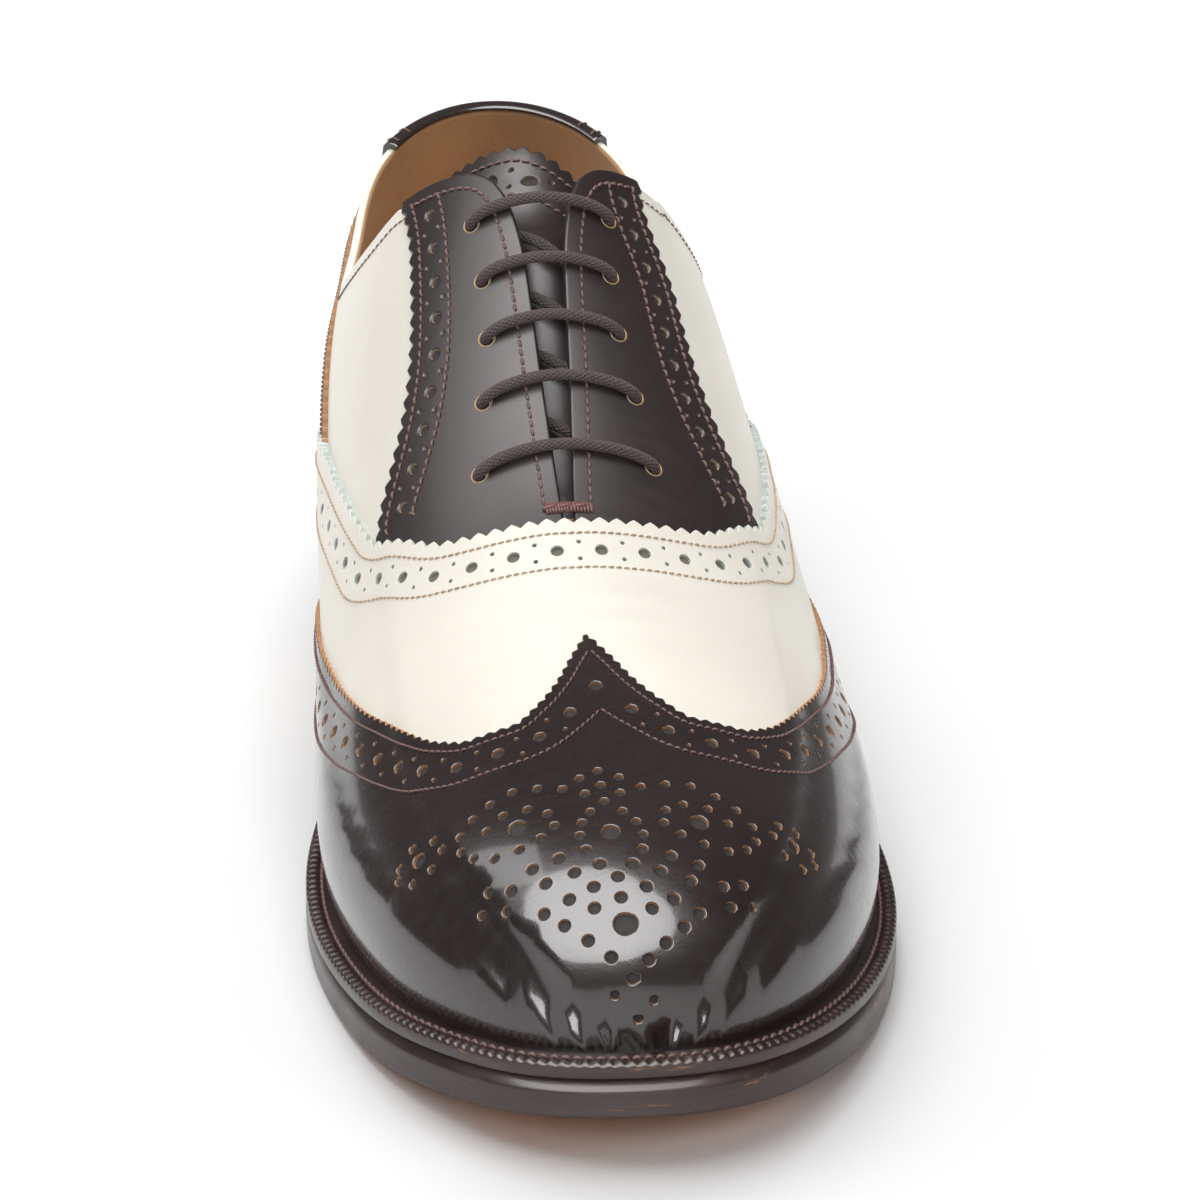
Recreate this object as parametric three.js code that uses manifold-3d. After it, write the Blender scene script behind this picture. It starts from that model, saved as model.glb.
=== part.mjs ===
// Spectator shoe for the left foot: a closed-lacing full brogue in dark and cream calf.
// Millimetres, +Z up. The toe points to -Y and the outer side of the foot is +X.
// The origin is the middle of the heel's tread, on the floor.
import * as THREE from 'three';
import { mergeVertices } from 'three/addons/utils/BufferGeometryUtils.js';
import Module from 'manifold-3d';

const wasm = await Module();
wasm.setup();

// Driving sizes
const LAST_LENGTH = 287;
const BALL_WIDTH = 94;
const INSTEP_RISE = 97;
const HEEL_HEIGHT = 24;
const HEEL_CENTRE = 36;
const HEEL_BREAST = 77;
const TOE_SPRING = 9;
const OUTSOLE = 5.6;
const WELT = 3.4;
const INSOLE = 3;
const WELT_SHELF = 8;
const GAP = 0.3;
const FEATHER = OUTSOLE + WELT + 2 * GAP;
const LIFT = 6;
const TOP_PIECE = 6;
const HEEL_FLARE = 0.4;
const INSOLE_CLEAR = 1.7;

// Thickness of the lasted leathers, and how high each stands on the upper's own outer face
const WALL = 2.2;
const LAY = 0.4;
const LACE_CLEAR = 0.6;
const DARK_TOP = 1.2;
const VAMP_TOP = 2.2;
const CAP_TOP = 3.1;
const LACE = 2.4;
const EYELET = 4.5;
const HOLE_DEPTH = 12;
const TONGUE = 1.7;
const TONGUE_UNDER_LACE = -(WALL + LACE_CLEAR + LACE + 2 * GAP);
const TONGUE_FREE = -(WALL + 2 * GAP);

// The last, one row for each station from the toe tip to the back of the heel.
// back, lean: shares of LAST_LENGTH. outer, inner, centre, bulges: shares of BALL_WIDTH.
// rise: share of INSTEP_RISE. wall, crown: handle shares of the section's curve.
// edge: how far the sole stands out from the feather line, in millimetres.
const LAST_COLUMNS = ['back', 'outer', 'inner', 'centre', 'rise', 'lean', 'wall', 'crown',
  'outerBulge', 'innerBulge', 'edge'];
const LAST_ROWS = [
  [1.000, 0.059, 0.059, 0.059, 0.000, 0.000, 0.60, 0.62, 0.000, 0.000, 8.4],
  [0.990, 0.211, -0.104, 0.053, 0.160, 0.004, 0.60, 0.62, 0.016, 0.016, 8.4],
  [0.957, 0.335, -0.223, 0.049, 0.278, 0.005, 0.58, 0.62, 0.043, 0.043, 8.4],
  [0.906, 0.438, -0.327, 0.045, 0.364, 0.003, 0.56, 0.62, 0.069, 0.069, 8.4],
  [0.838, 0.516, -0.399, 0.038, 0.428, 0.000, 0.54, 0.60, 0.090, 0.096, 8.4],
  [0.758, 0.557, -0.441, 0.030, 0.500, 0.000, 0.50, 0.58, 0.106, 0.117, 8.4],
  [0.669, 0.553, -0.436, 0.021, 0.603, 0.000, 0.46, 0.56, 0.128, 0.149, 8.2],
  [0.575, 0.509, -0.386, 0.016, 0.737, 0.000, 0.42, 0.56, 0.165, 0.234, 7.6],
  [0.481, 0.447, -0.346, 0.011, 0.860, 0.007, 0.40, 0.57, 0.213, 0.298, 6.5],
  [0.383, 0.399, -0.340, 0.005, 0.960, 0.028, 0.38, 0.58, 0.223, 0.287, 5.2],
  [0.286, 0.367, -0.340, 0.000, 1.045, 0.063, 0.36, 0.58, 0.207, 0.245, 4.5],
  [0.195, 0.340, -0.330, 0.000, 1.117, 0.111, 0.34, 0.58, 0.181, 0.197, 4.2],
  [0.118, 0.314, -0.314, 0.000, 1.165, 0.153, 0.32, 0.62, 0.160, 0.160, 4.2],
  [0.056, 0.255, -0.255, 0.000, 1.192, 0.192, 0.31, 0.67, 0.125, 0.125, 4.2],
  [0.016, 0.140, -0.140, 0.000, 1.206, 0.216, 0.30, 0.70, 0.106, 0.106, 4.2],
  [0.000, 0.000, 0.000, 0.000, 1.206, 0.226, 0.30, 0.71, 0.100, 0.100, 4.2],
];
const HEEL_BACK = LAST_ROWS.length - 1;
const LOOP = 2 * HEEL_BACK;

// Edges of the pieces, as [place, value] on the last.
// A station counts rows from the toe, and a side share is 0 on the ridge and 1 at the feather line.
const WING_EDGE = [[0, 5.24], [0.04, 5.02], [0.08, 4.77], [0.13, 4.55], [0.2, 4.37], [0.3, 4.39],
  [0.38, 4.58], [0.44, 4.88], [0.5, 5.25], [0.56, 5.6], [0.64, 6.2], [0.72, 6.95], [0.8, 7.7],
  [0.9, 8.35], [1, 8.6]];
const VAMP_EDGE = [[0, 6.29], [0.1, 6.31], [0.2, 6.36], [0.3, 6.47], [0.42, 6.8], [0.5, 7.05],
  [0.55, 7.4], [0.6, 7.8], [0.65, 8.2], [0.7, 8.6], [0.74, 8.9], [0.78, 9.2], [0.84, 9.5], [0.92, 9.75],
  [1, 9.85]];
const FACING_OUTER = [[6.33, 0.06], [6.36, 0.19], [6.47, 0.285], [6.6, 0.34], [6.8, 0.405],
  [7.03, 0.48], [7.2, 0.465], [7.4, 0.43], [7.7, 0.385], [8, 0.36], [8.4, 0.345], [8.8, 0.34],
  [9.2, 0.355], [9.4, 0.4]];
const FACING_INNER = [[6.33, 0.02], [7, 0.035], [7.4, 0.045], [7.8, 0.053], [8.2, 0.063],
  [8.55, 0.085], [8.85, 0.12], [9, 0.17], [9.2, 0.27], [9.4, 0.38]];
const COUNTER_EDGE = [[9, 0.737], [9.55, 0.735], [10.1, 0.722], [10.8, 0.715], [12, 0.7],
  [13, 0.665], [14.2, 0.63], [14.35, 0.55], [15, 0.55]];
const EYELETS = [[6.85, 0.21], [7.33, 0.19], [7.75, 0.17], [8.16, 0.17], [8.6, 0.185]];

// The collar and the top of the facings seen from the side, as [back, height] in millimetres
const TOPLINE = [[-12, 89.5], [5, 89], [20, 85.5], [40, 80.5], [57, 77.6], [70, 77.4], [80, 79.8],
  [90, 86.5], [98, 95.5], [103, 104.5], [107, 111], [112, 115.5], [117, 118], [121, 121]];
const FOOT = 1.04;
const COLUMN_SHARES = [0, 0.04, 0.1, 0.17, 0.25, 0.33, 0.41, 0.49, 0.57, 0.65, 0.73, 0.81, 0.89,
  0.96, FOOT];

// Numbers and curves
const clamp = (x, low, high) => Math.min(Math.max(x, low), high);
const mix = (a, b, share) => a + (b - a) * share;
const steps = (from, to, count) => Array.from({ length: count + 1 }, (_, i) => mix(from, to, i / count));

function smooth(x) {
  const s = clamp(x, 0, 1);
  return s * s * (3 - 2 * s);
}

function hermite(a, b, slopeA, slopeB, s) {
  const s2 = s * s;
  const s3 = s2 * s;
  return (2 * s3 - 3 * s2 + 1) * a + (s3 - 2 * s2 + s) * slopeA + (3 * s2 - 2 * s3) * b + (s3 - s2) * slopeB;
}

// A smooth curve round a closed loop of values, one step apart
function loopCurve(values) {
  const count = values.length;
  const slopes = new Array(count).fill(0);
  const wrap = (i) => (i + count) % count;
  for (let sweep = 0; sweep < 60; sweep += 1) {
    for (let i = 0; i < count; i += 1) {
      const rise = 3 * (values[wrap(i + 1)] - values[wrap(i - 1)]);
      slopes[i] = (rise - slopes[wrap(i - 1)] - slopes[wrap(i + 1)]) / 4;
    }
  }
  return (place) => {
    const turn = ((place % count) + count) % count;
    const i = Math.floor(turn) % count;
    const j = wrap(i + 1);
    return hermite(values[i], values[j], slopes[i], slopes[j], turn - Math.floor(turn));
  };
}

// A curve through [place, value] rows that never overshoots its rows
function rowCurve(rows) {
  const chord = rows.slice(1).map(([x, y], i) => (y - rows[i][1]) / (x - rows[i][0]));
  const slopes = rows.map((_, i) => {
    const before = chord[i - 1] ?? chord[i];
    const after = chord[i] ?? before;
    return before * after <= 0 ? 0 : (2 * before * after) / (before + after);
  });
  return (place) => {
    const x = clamp(place, rows[0][0], rows.at(-1)[0]);
    const i = clamp(rows.findIndex((row) => row[0] >= x) - 1, 0, rows.length - 2);
    const width = rows[i + 1][0] - rows[i][0];
    const s = (x - rows[i][0]) / width;
    return hermite(rows[i][1], rows[i + 1][1], slopes[i] * width, slopes[i + 1] * width, s);
  };
}

// The last's surface
const column = (name) => LAST_ROWS.map((row) => row[LAST_COLUMNS.indexOf(name)]);
const around = (outer, inner) => loopCurve([...outer, ...inner.slice(1, -1).reverse()]);
const mirrored = (name) => around(column(name), column(name));
// The rise turns over at the toe tip and levels out at the back of the heel
const toAndBack = [...column('rise'), ...column('rise').slice(1, -1).reverse()];
const LAST = {
  back: mirrored('back'),
  side: around(column('outer'), column('inner')),
  centre: mirrored('centre'),
  rise: loopCurve([...toAndBack, ...toAndBack.map((value) => -value)]),
  lean: mirrored('lean'),
  wall: mirrored('wall'),
  crown: mirrored('crown'),
  bulge: around(column('outerBulge'), column('innerBulge')),
  edge: mirrored('edge'),
};

// Underside of the outsole: flat under the ball, rising to the toe and to the heel seat
const WAIST_FRONT = 0.65;
const WAIST_BACK = 0.27;
const SPRING_START = 0.73;
function soleHeight(back) {
  const share = back / LAST_LENGTH;
  const waist = smooth((WAIST_FRONT - share) / (WAIST_FRONT - WAIST_BACK));
  const spring = clamp((share - SPRING_START) / (1 - SPRING_START), 0, 2) ** 1.7;
  return HEEL_HEIGHT * waist + TOE_SPRING * spring;
}

// The sections shrink to one point at the toe tip, which lies a little below the feather line
const TIP_DROP = 1.5;
const TIP_STATION = 0.35;

// turn runs along the outer side to the heel and back along the inner side; height is 0 at the
// feather line and 1 on the ridge
function lastPoint(turn, height) {
  const station = Math.abs(((turn + HEEL_BACK) % LOOP + LOOP) % LOOP - HEEL_BACK);
  const foot = new THREE.Vector2(LAST.side(turn) * BALL_WIDTH, LAST.back(turn) * LAST_LENGTH);
  const lean = LAST.lean(station) * LAST_LENGTH;
  const ridge = new THREE.Vector2(LAST.centre(station) * BALL_WIDTH, foot.y + lean);
  const outward = foot.clone().sub(ridge);
  const bulge = LAST.bulge(turn) * BALL_WIDTH;
  const shoulder = ridge.clone().addScaledVector(outward, LAST.crown(station));
  const wall = foot.clone().addScaledVector(outward.clone().normalize(), bulge);
  const rise = LAST.rise(station) * INSTEP_RISE;
  const rest = 1 - height;
  const weights = [rest ** 3, 3 * height * rest ** 2, 3 * height ** 2 * rest, height ** 3];
  const plan = new THREE.Vector2();
  [foot, wall, shoulder, ridge].forEach((corner, i) => plan.addScaledVector(corner, weights[i]));
  const up = rise * (LAST.wall(station) * weights[1] + weights[2] + weights[3]);
  const base = soleHeight(foot.y) + FEATHER - TIP_DROP * smooth(1 - station / TIP_STATION);
  return new THREE.Vector3(plan.x, HEEL_CENTRE - plan.y, base + up);
}

const TINY = 0.01;
function lastNormal(turn, height) {
  if (Math.abs(turn) < TINY) return new THREE.Vector3(0, -1, 0);
  const along = lastPoint(turn + TINY, height).sub(lastPoint(turn - TINY, height));
  const upward = lastPoint(turn, height + TINY).sub(lastPoint(turn, height - TINY));
  return along.cross(upward).normalize();
}

// A point at a level above (or below) the last: by turn and height, or by station and side share
function onLoop(turn, height, level) {
  return lastPoint(turn, height).addScaledVector(lastNormal(turn, height), level);
}
function onLast(station, side, level) {
  return onLoop(side < 0 ? -station : station, 1 - Math.abs(side), level);
}

// Solids
function solidOf(points, triangles) {
  const geometry = new THREE.BufferGeometry();
  geometry.setAttribute('position', new THREE.Float32BufferAttribute(points.flatMap((p) => [p.x, p.y, p.z]), 3));
  geometry.setIndex(triangles.flat());
  return solidFrom(geometry);
}

function solidFrom(source) {
  const geometry = source.clone();
  geometry.deleteAttribute('normal');
  geometry.deleteAttribute('uv');
  const welded = mergeVertices(geometry, 1e-3);
  const corners = welded.index.array;
  const kept = [];
  for (let i = 0; i < corners.length; i += 3) {
    const [a, b, c] = corners.slice(i, i + 3);
    if (a !== b && b !== c && c !== a) kept.push(a, b, c);
  }
  const vertProperties = new Float32Array(welded.attributes.position.array);
  return new wasm.Manifold(new wasm.Mesh({ numProp: 3, vertProperties, triVerts: new Uint32Array(kept) }));
}

// A closed solid between two grids of points; a looped grid closes on itself across its columns
function between(outside, inside, looped = false) {
  const rows = outside.length;
  const columns = outside[0].length;
  const index = (layer, i, j) => layer * rows * columns + i * columns + (j % columns);
  const triangles = [];
  const quad = (a, b, c, d) => triangles.push([a, b, c], [a, c, d]);
  const across = looped ? columns : columns - 1;
  for (let i = 0; i < rows - 1; i += 1) {
    for (let j = 0; j < across; j += 1) {
      quad(index(0, i, j), index(0, i + 1, j), index(0, i + 1, j + 1), index(0, i, j + 1));
      quad(index(1, i, j), index(1, i, j + 1), index(1, i + 1, j + 1), index(1, i + 1, j));
    }
  }
  for (let j = 0; j < across; j += 1) {
    quad(index(0, 0, j), index(0, 0, j + 1), index(1, 0, j + 1), index(1, 0, j));
    quad(index(0, rows - 1, j + 1), index(0, rows - 1, j), index(1, rows - 1, j), index(1, rows - 1, j + 1));
  }
  if (!looped) {
    for (let i = 0; i < rows - 1; i += 1) {
      const last = columns - 1;
      quad(index(0, i + 1, 0), index(0, i, 0), index(1, i, 0), index(1, i + 1, 0));
      quad(index(0, i, last), index(0, i + 1, last), index(1, i + 1, last), index(1, i, last));
    }
  }
  return solidOf([...outside.flat(), ...inside.flat()], triangles);
}

// The whole last at a level, closed across its underside
function lastBody(level, stations) {
  const sides = [...COLUMN_SHARES].reverse().concat(COLUMN_SHARES.slice(1).map((share) => -share));
  const grid = stations.map((station) => sides.map((side) => onLast(station, side, level)));
  const columns = sides.length;
  const triangles = [];
  for (let i = 0; i < stations.length - 1; i += 1) {
    for (let j = 0; j < columns; j += 1) {
      const a = i * columns + j;
      const b = i * columns + ((j + 1) % columns);
      triangles.push([a, a + columns, b + columns], [a, b + columns, b]);
    }
  }
  return solidOf(grid.flat(), triangles);
}

// A piece of leather on the last, from rows of [station, side share] places
function leather(rows, low, high) {
  const grid = (level) => rows.map((row) => row.map(([station, side]) => {
    const depth = typeof level === 'function' ? level(station) : level;
    return onLast(station, side, depth);
  }));
  return between(grid(high), grid(low));
}

// A shape drawn from the side, as [y, z] corners, taken right across the shoe
const ACROSS = 200;
function sideSlab(corners) {
  const shape = new THREE.Shape(corners.map(([y, z]) => new THREE.Vector2(y, z)));
  const slab = new THREE.ExtrudeGeometry(shape, { depth: ACROSS, bevelEnabled: false });
  slab.applyMatrix4(new THREE.Matrix4().makeBasis(
    new THREE.Vector3(0, 1, 0), new THREE.Vector3(0, 0, 1), new THREE.Vector3(1, 0, 0),
  ));
  slab.translate(-ACROSS / 2, 0, 0);
  return solidFrom(slab);
}

const SOLE_STEPS = steps(-12, LAST_LENGTH + 16, 44);
const TALL = 400;

// Everything below the feather line, which trims the foot of each lasted piece
function belowFeather() {
  const top = SOLE_STEPS.map((back) => [HEEL_CENTRE - back, soleHeight(back) + FEATHER]);
  return sideSlab([...top, [top.at(-1)[0], -TALL], [top[0][0], -TALL]]);
}

// Everything above the collar and the top of the facings
function aboveTopline() {
  const edge = new THREE.SplineCurve(TOPLINE.map(([back, z]) => new THREE.Vector2(HEEL_CENTRE - back, z)));
  const points = edge.getPoints(40).map((p) => [p.x, p.y]);
  const end = points.at(-1);
  return sideSlab([...points, [end[0], TALL], [points[0][0], TALL]]);
}

const BED = belowFeather();
const COLLAR = aboveTopline();

function eyeletHoles(side) {
  return EYELETS.map(([station, share]) => {
    const centre = onLast(station, share * side, 0);
    const normal = lastNormal(side < 0 ? -station : station, 1 - share);
    const hole = new THREE.CylinderGeometry(EYELET / 2, EYELET / 2, HOLE_DEPTH, 12);
    hole.applyQuaternion(new THREE.Quaternion().setFromUnitVectors(new THREE.Vector3(0, 1, 0), normal));
    hole.translate(centre.x, centre.y, centre.z);
    return solidFrom(hole);
  });
}

function throatGap() {
  const inner = rowCurve(FACING_INNER);
  const rows = [...steps(6.42, 8.8, 12), ...steps(9, 10.2, 4)].map((station) => {
    const half = inner(station);
    return [half, 0, -half].map((side) => [station, side]);
  });
  return leather(rows, -WALL - 4, 6);
}

// Sub-parts
const TOE_STATIONS = [0, TIP_STATION, 0.7, 1.05, 1.5, 2, 2.5, 3, 3.5, 4];
const HEEL_STATIONS = [13, 13.4, 13.8, 14.2, 14.35, 14.65, 15];
function upper() {
  const outer = [...TOE_STATIONS, ...steps(4.5, 12.5, 16), ...HEEL_STATIONS];
  const inner = outer.filter((station, i) => i % 2 === 0 || station > 12);
  let solid = lastBody(0, outer).subtract(lastBody(-WALL, inner)).subtract(BED).subtract(COLLAR);
  solid = solid.subtract(throatGap());
  for (const hole of [...eyeletHoles(1), ...eyeletHoles(-1)]) solid = solid.subtract(hole);
  return solid;
}

const signedShares = [...COLUMN_SHARES].reverse().concat(COLUMN_SHARES.slice(1).map((share) => -share));

function wingCap() {
  const edge = rowCurve(WING_EDGE);
  const toe = TOE_STATIONS.map((station) => signedShares.map((side) => [station, side]));
  const tails = steps(0, 1, 7).slice(1).map((share) => signedShares.map((side) => (
    [mix(TOE_STATIONS.at(-1), edge(Math.abs(side)), share), side]
  )));
  const rows = [...toe, ...tails];
  return leather(rows, LAY, CAP_TOP).subtract(BED);
}

const BUTT = 0.03;
function vampRows(reach) {
  const front = rowCurve(WING_EDGE);
  const back = rowCurve(VAMP_EDGE);
  return steps(0, 1, 7).map((share) => signedShares.map((side) => {
    const place = Math.abs(side);
    return [mix(front(place) + BUTT, back(place) + reach, share), side];
  }));
}

function vamp() {
  return leather(vampRows(0), LAY, VAMP_TOP).subtract(BED);
}

function facing(side) {
  const inner = rowCurve(FACING_INNER);
  const outer = rowCurve(FACING_OUTER);
  const stations = [6.33, 6.36, 6.41, 6.47, 6.6, 6.8, 7.03, 7.2, 7.45, 7.7, 7.95, 8.2, 8.45, 8.65, 8.85,
    9, 9.1, 9.2, 9.4];
  const shares = side > 0 ? [1, 0.8, 0.6, 0.4, 0.2, 0] : [0, 0.2, 0.4, 0.6, 0.8, 1];
  const rows = stations.map((station) => shares.map((share) => (
    [station + BUTT, side * mix(inner(station), outer(station), share)]
  )));
  let solid = leather(rows, LAY + 0.1, DARK_TOP).subtract(COLLAR);
  for (const hole of eyeletHoles(side)) solid = solid.subtract(hole);
  return solid;
}

function counter() {
  const edge = rowCurve(COUNTER_EDGE);
  const stations = [...steps(9, 12.5, 7), ...HEEL_STATIONS];
  const turns = [...stations, ...stations.slice(0, -1).reverse().map((station) => LOOP - station)];
  const grid = (level) => turns.map((turn) => {
    const top = edge(Math.min(turn, LOOP - turn));
    return steps(FOOT, top, 7).map((side) => onLoop(turn, 1 - side, level));
  });
  const covered = leather(vampRows(BUTT), LAY - 1, VAMP_TOP + 1);
  return between(grid(DARK_TOP), grid(LAY)).subtract(BED).subtract(COLLAR).subtract(covered);
}

const TONGUE_START = 6.05;
const TONGUE_END = 9.22;
const TONGUE_HALF = 0.33;
function tongue() {
  const depth = (station) => mix(TONGUE_UNDER_LACE, TONGUE_FREE, smooth((station - 8.85) / 0.4));
  const sides = steps(1, -1, 8);
  const rows = steps(0, 1, 15).map((share) => sides.map((across) => {
    const end = TONGUE_END - 0.25 * across ** 2;
    return [mix(TONGUE_START, end, share), across * TONGUE_HALF * mix(0.75, 1, share)];
  }));
  return leather(rows, (station) => depth(station) - TONGUE, depth);
}

// One lace: a straight bar over each pair of eyelets and a slant under the facings to the next pair.
// Its two ends stop a little inside the first and last eyelets.
const LACE_TAIL = 0.07;
function lace() {
  const over = DARK_TOP + LACE_CLEAR + LACE / 2;
  const under = -(WALL + LACE_CLEAR + LACE / 2);
  const points = [];
  EYELETS.forEach(([station, share], i) => {
    if (i === 0) points.push(onLast(station, -share + LACE_TAIL, under));
    points.push(onLast(station, -share, -WALL - LACE_CLEAR));
    points.push(onLast(station, -share, DARK_TOP + GAP));
    [-0.7, 0, 0.7].forEach((reach) => points.push(onLast(station, share * reach, over)));
    points.push(onLast(station, share, DARK_TOP + GAP));
    points.push(onLast(station, share, -WALL - LACE_CLEAR));
    const next = EYELETS[i + 1];
    if (!next) {
      points.push(onLast(station, share - LACE_TAIL, under));
      return;
    }
    [0.14, 0.5, 0.86].forEach((reach) => {
      const across = mix(share, -next[1], reach);
      points.push(onLast(mix(station, next[0], reach), across, under));
    });
  });
  const route = new THREE.CatmullRomCurve3(points, false, 'centripetal');
  const section = new THREE.Shape().absarc(0, 0, LACE / 2, 0, 2 * Math.PI);
  const settings = { steps: 110, curveSegments: 3, bevelEnabled: false, extrudePath: route };
  return solidFrom(new THREE.ExtrudeGeometry(section, settings));
}

// Plates of the bottom, cut to the feather line moved outward by a width
function plate(width, low, high, turns = steps(0, HEEL_BACK, 30)) {
  const ends = [0, 0.12, 0.3, 0.55];
  const places = [...ends, ...turns.slice(2, -2), ...ends.map((end) => HEEL_BACK - end).reverse()];
  const outlinePoint = (turn) => {
    const at = (place) => new THREE.Vector2(
      LAST.side(place) * BALL_WIDTH, HEEL_CENTRE - LAST.back(place) * LAST_LENGTH,
    );
    const along = at(turn + TINY).sub(at(turn - TINY)).normalize();
    return at(turn).add(new THREE.Vector2(along.y, -along.x).multiplyScalar(width(turn)));
  };
  const grid = (height) => places.map((place) => [place, -place].map((turn) => {
    const p = outlinePoint(turn);
    return new THREE.Vector3(p.x, p.y, height(HEEL_CENTRE - p.y));
  }));
  return between(grid(high), grid(low));
}

const soleEdge = (turn) => LAST.edge(turn);
const inset = (depth) => () => -depth;

function outsole() {
  return plate(soleEdge, soleHeight, (back) => soleHeight(back) + OUTSOLE);
}

function welt() {
  const low = (back) => soleHeight(back) + OUTSOLE + GAP;
  const high = (back) => soleHeight(back) + OUTSOLE + GAP + WELT;
  const hole = plate(inset(WELT_SHELF), (back) => low(back) - 2, (back) => high(back) + 2);
  return plate(soleEdge, low, high).subtract(hole);
}

function insole() {
  const low = (back) => soleHeight(back) + FEATHER;
  return plate(inset(WALL + INSOLE_CLEAR), low, (back) => low(back) + INSOLE);
}

function heelBlock(low, high, taper) {
  const heelWidth = (turn) => LAST.edge(turn) - taper;
  const whole = plate(heelWidth, () => low, () => high);
  const breast = [[HEEL_CENTRE - HEEL_BREAST, -TALL], [-TALL, -TALL], [-TALL, TALL],
    [HEEL_CENTRE - HEEL_BREAST, TALL]];
  return whole.subtract(sideSlab(breast));
}

// Materials and the assembly
const finish = (color, roughness) => new THREE.MeshStandardMaterial({ color, roughness, metalness: 0 });
const CREAM = finish(0xe9e2d2, 0.45);
const DARK = finish(0x2c1e1d, 0.25);
const SOLE_EDGE = finish(0x3a201b, 0.35);
const LINING = finish(0xb98a55, 0.7);
const LACE_COLOUR = finish(0x33211d, 0.8);
const RUBBER = finish(0x1d1715, 0.8);

function meshOf(name, solid, material) {
  const { vertProperties, triVerts } = solid.getMesh();
  const geometry = new THREE.BufferGeometry();
  geometry.setAttribute('position', new THREE.BufferAttribute(new Float32Array(vertProperties), 3));
  geometry.setIndex(new THREE.BufferAttribute(new Uint32Array(triVerts), 1));
  geometry.computeVertexNormals();
  const mesh = new THREE.Mesh(geometry, material);
  mesh.name = name;
  return mesh;
}

const LIFTS = Math.round((HEEL_HEIGHT - TOP_PIECE) / LIFT);
const liftTops = steps(TOP_PIECE, HEEL_HEIGHT, LIFTS);
const lifts = liftTops.slice(1).map((top, i) => (
  meshOf(`heel_lift_${i + 1}`, heelBlock(liftTops[i], top - GAP, HEEL_FLARE * (LIFTS - 1 - i)), SOLE_EDGE)
));

const shoe = new THREE.Group();
shoe.add(
  meshOf('upper', upper(), CREAM),
  meshOf('wing_cap', wingCap(), DARK),
  meshOf('vamp', vamp(), CREAM),
  meshOf('facing_outer', facing(1), DARK),
  meshOf('facing_inner', facing(-1), DARK),
  meshOf('counter', counter(), DARK),
  meshOf('tongue', tongue(), DARK),
  meshOf('lace', lace(), LACE_COLOUR),
  meshOf('insole', insole(), LINING),
  meshOf('welt', welt(), SOLE_EDGE),
  meshOf('outsole', outsole(), SOLE_EDGE),
  ...lifts,
  meshOf('heel_top_piece', heelBlock(0, TOP_PIECE - GAP, HEEL_FLARE * LIFTS), RUBBER),
);

export default shoe;
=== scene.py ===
"""Looks of a two-tone full brogue shoe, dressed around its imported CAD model.

Lengths in the tables are millimetres in the CAD frame: the toe points to -Y, the outer side of the
foot is +X and +Z is up. Pieces are made in metres.
"""
import math

import bmesh
import bpy
import numpy as np
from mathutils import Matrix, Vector
from mathutils.geometry import delaunay_2d_cdt
from mathutils.kdtree import KDTree


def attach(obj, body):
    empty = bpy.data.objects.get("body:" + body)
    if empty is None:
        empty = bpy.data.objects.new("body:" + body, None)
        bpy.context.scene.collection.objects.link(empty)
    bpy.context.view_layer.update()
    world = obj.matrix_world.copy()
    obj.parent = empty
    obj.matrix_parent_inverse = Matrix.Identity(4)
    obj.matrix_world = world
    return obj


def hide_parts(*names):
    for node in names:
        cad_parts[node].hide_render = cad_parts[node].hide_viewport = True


bl_info = {
    "name": "Two-tone brogue shoe",
    "version": (1, 0, 0),
    "blender": (4, 5, 0),
    "location": "View3D > Sidebar > Shoe",
    "description": "Leather panels, perforations, stitching, lacing and bottom of a two-tone shoe",
    "category": "Object",
}

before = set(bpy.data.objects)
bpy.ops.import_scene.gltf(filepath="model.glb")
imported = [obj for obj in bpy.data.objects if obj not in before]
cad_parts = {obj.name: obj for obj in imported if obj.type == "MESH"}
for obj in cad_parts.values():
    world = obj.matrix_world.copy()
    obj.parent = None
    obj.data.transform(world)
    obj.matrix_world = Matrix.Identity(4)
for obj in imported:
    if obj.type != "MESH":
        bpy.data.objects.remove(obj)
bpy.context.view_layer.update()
MM = 0.001
BODY = "root"

# The last, with the sizes and the table of the CAD part
LAST_LENGTH = 287.0
BALL_WIDTH = 94.0
INSTEP_RISE = 97.0
HEEL_HEIGHT = 24.0
HEEL_CENTRE = 36.0
HEEL_BREAST = 77.0
TOE_SPRING = 9.0
OUTSOLE = 5.6
WELT = 3.4
INSOLE = 3.0
GAP = 0.3
FEATHER = OUTSOLE + WELT + 2 * GAP
TOP_PIECE = 6.0
LIFT = 6.0
HEEL_FLARE = 0.4
WALL = 2.2
LACE_CAD = 2.4
LACE_CLEAR = 0.6
LACE_TAIL = 0.07
DARK_TOP = 1.2
VAMP_TOP = 2.2
CAP_TOP = 0.95
CAP = 1.15
EYELET = 3.2
TONGUE = 1.7
HOLE_DEPTH = 0.75
WELT_STRIP = 6.0
EXTRA_TOE = 2.2
STRAP_LEATHER = 1.0
SEAT_IN = 0.12
WAIST_FRONT, WAIST_BACK, SPRING_START = 0.65, 0.27, 0.73
TIP_DROP, TIP_STATION = 1.5, 0.35

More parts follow.
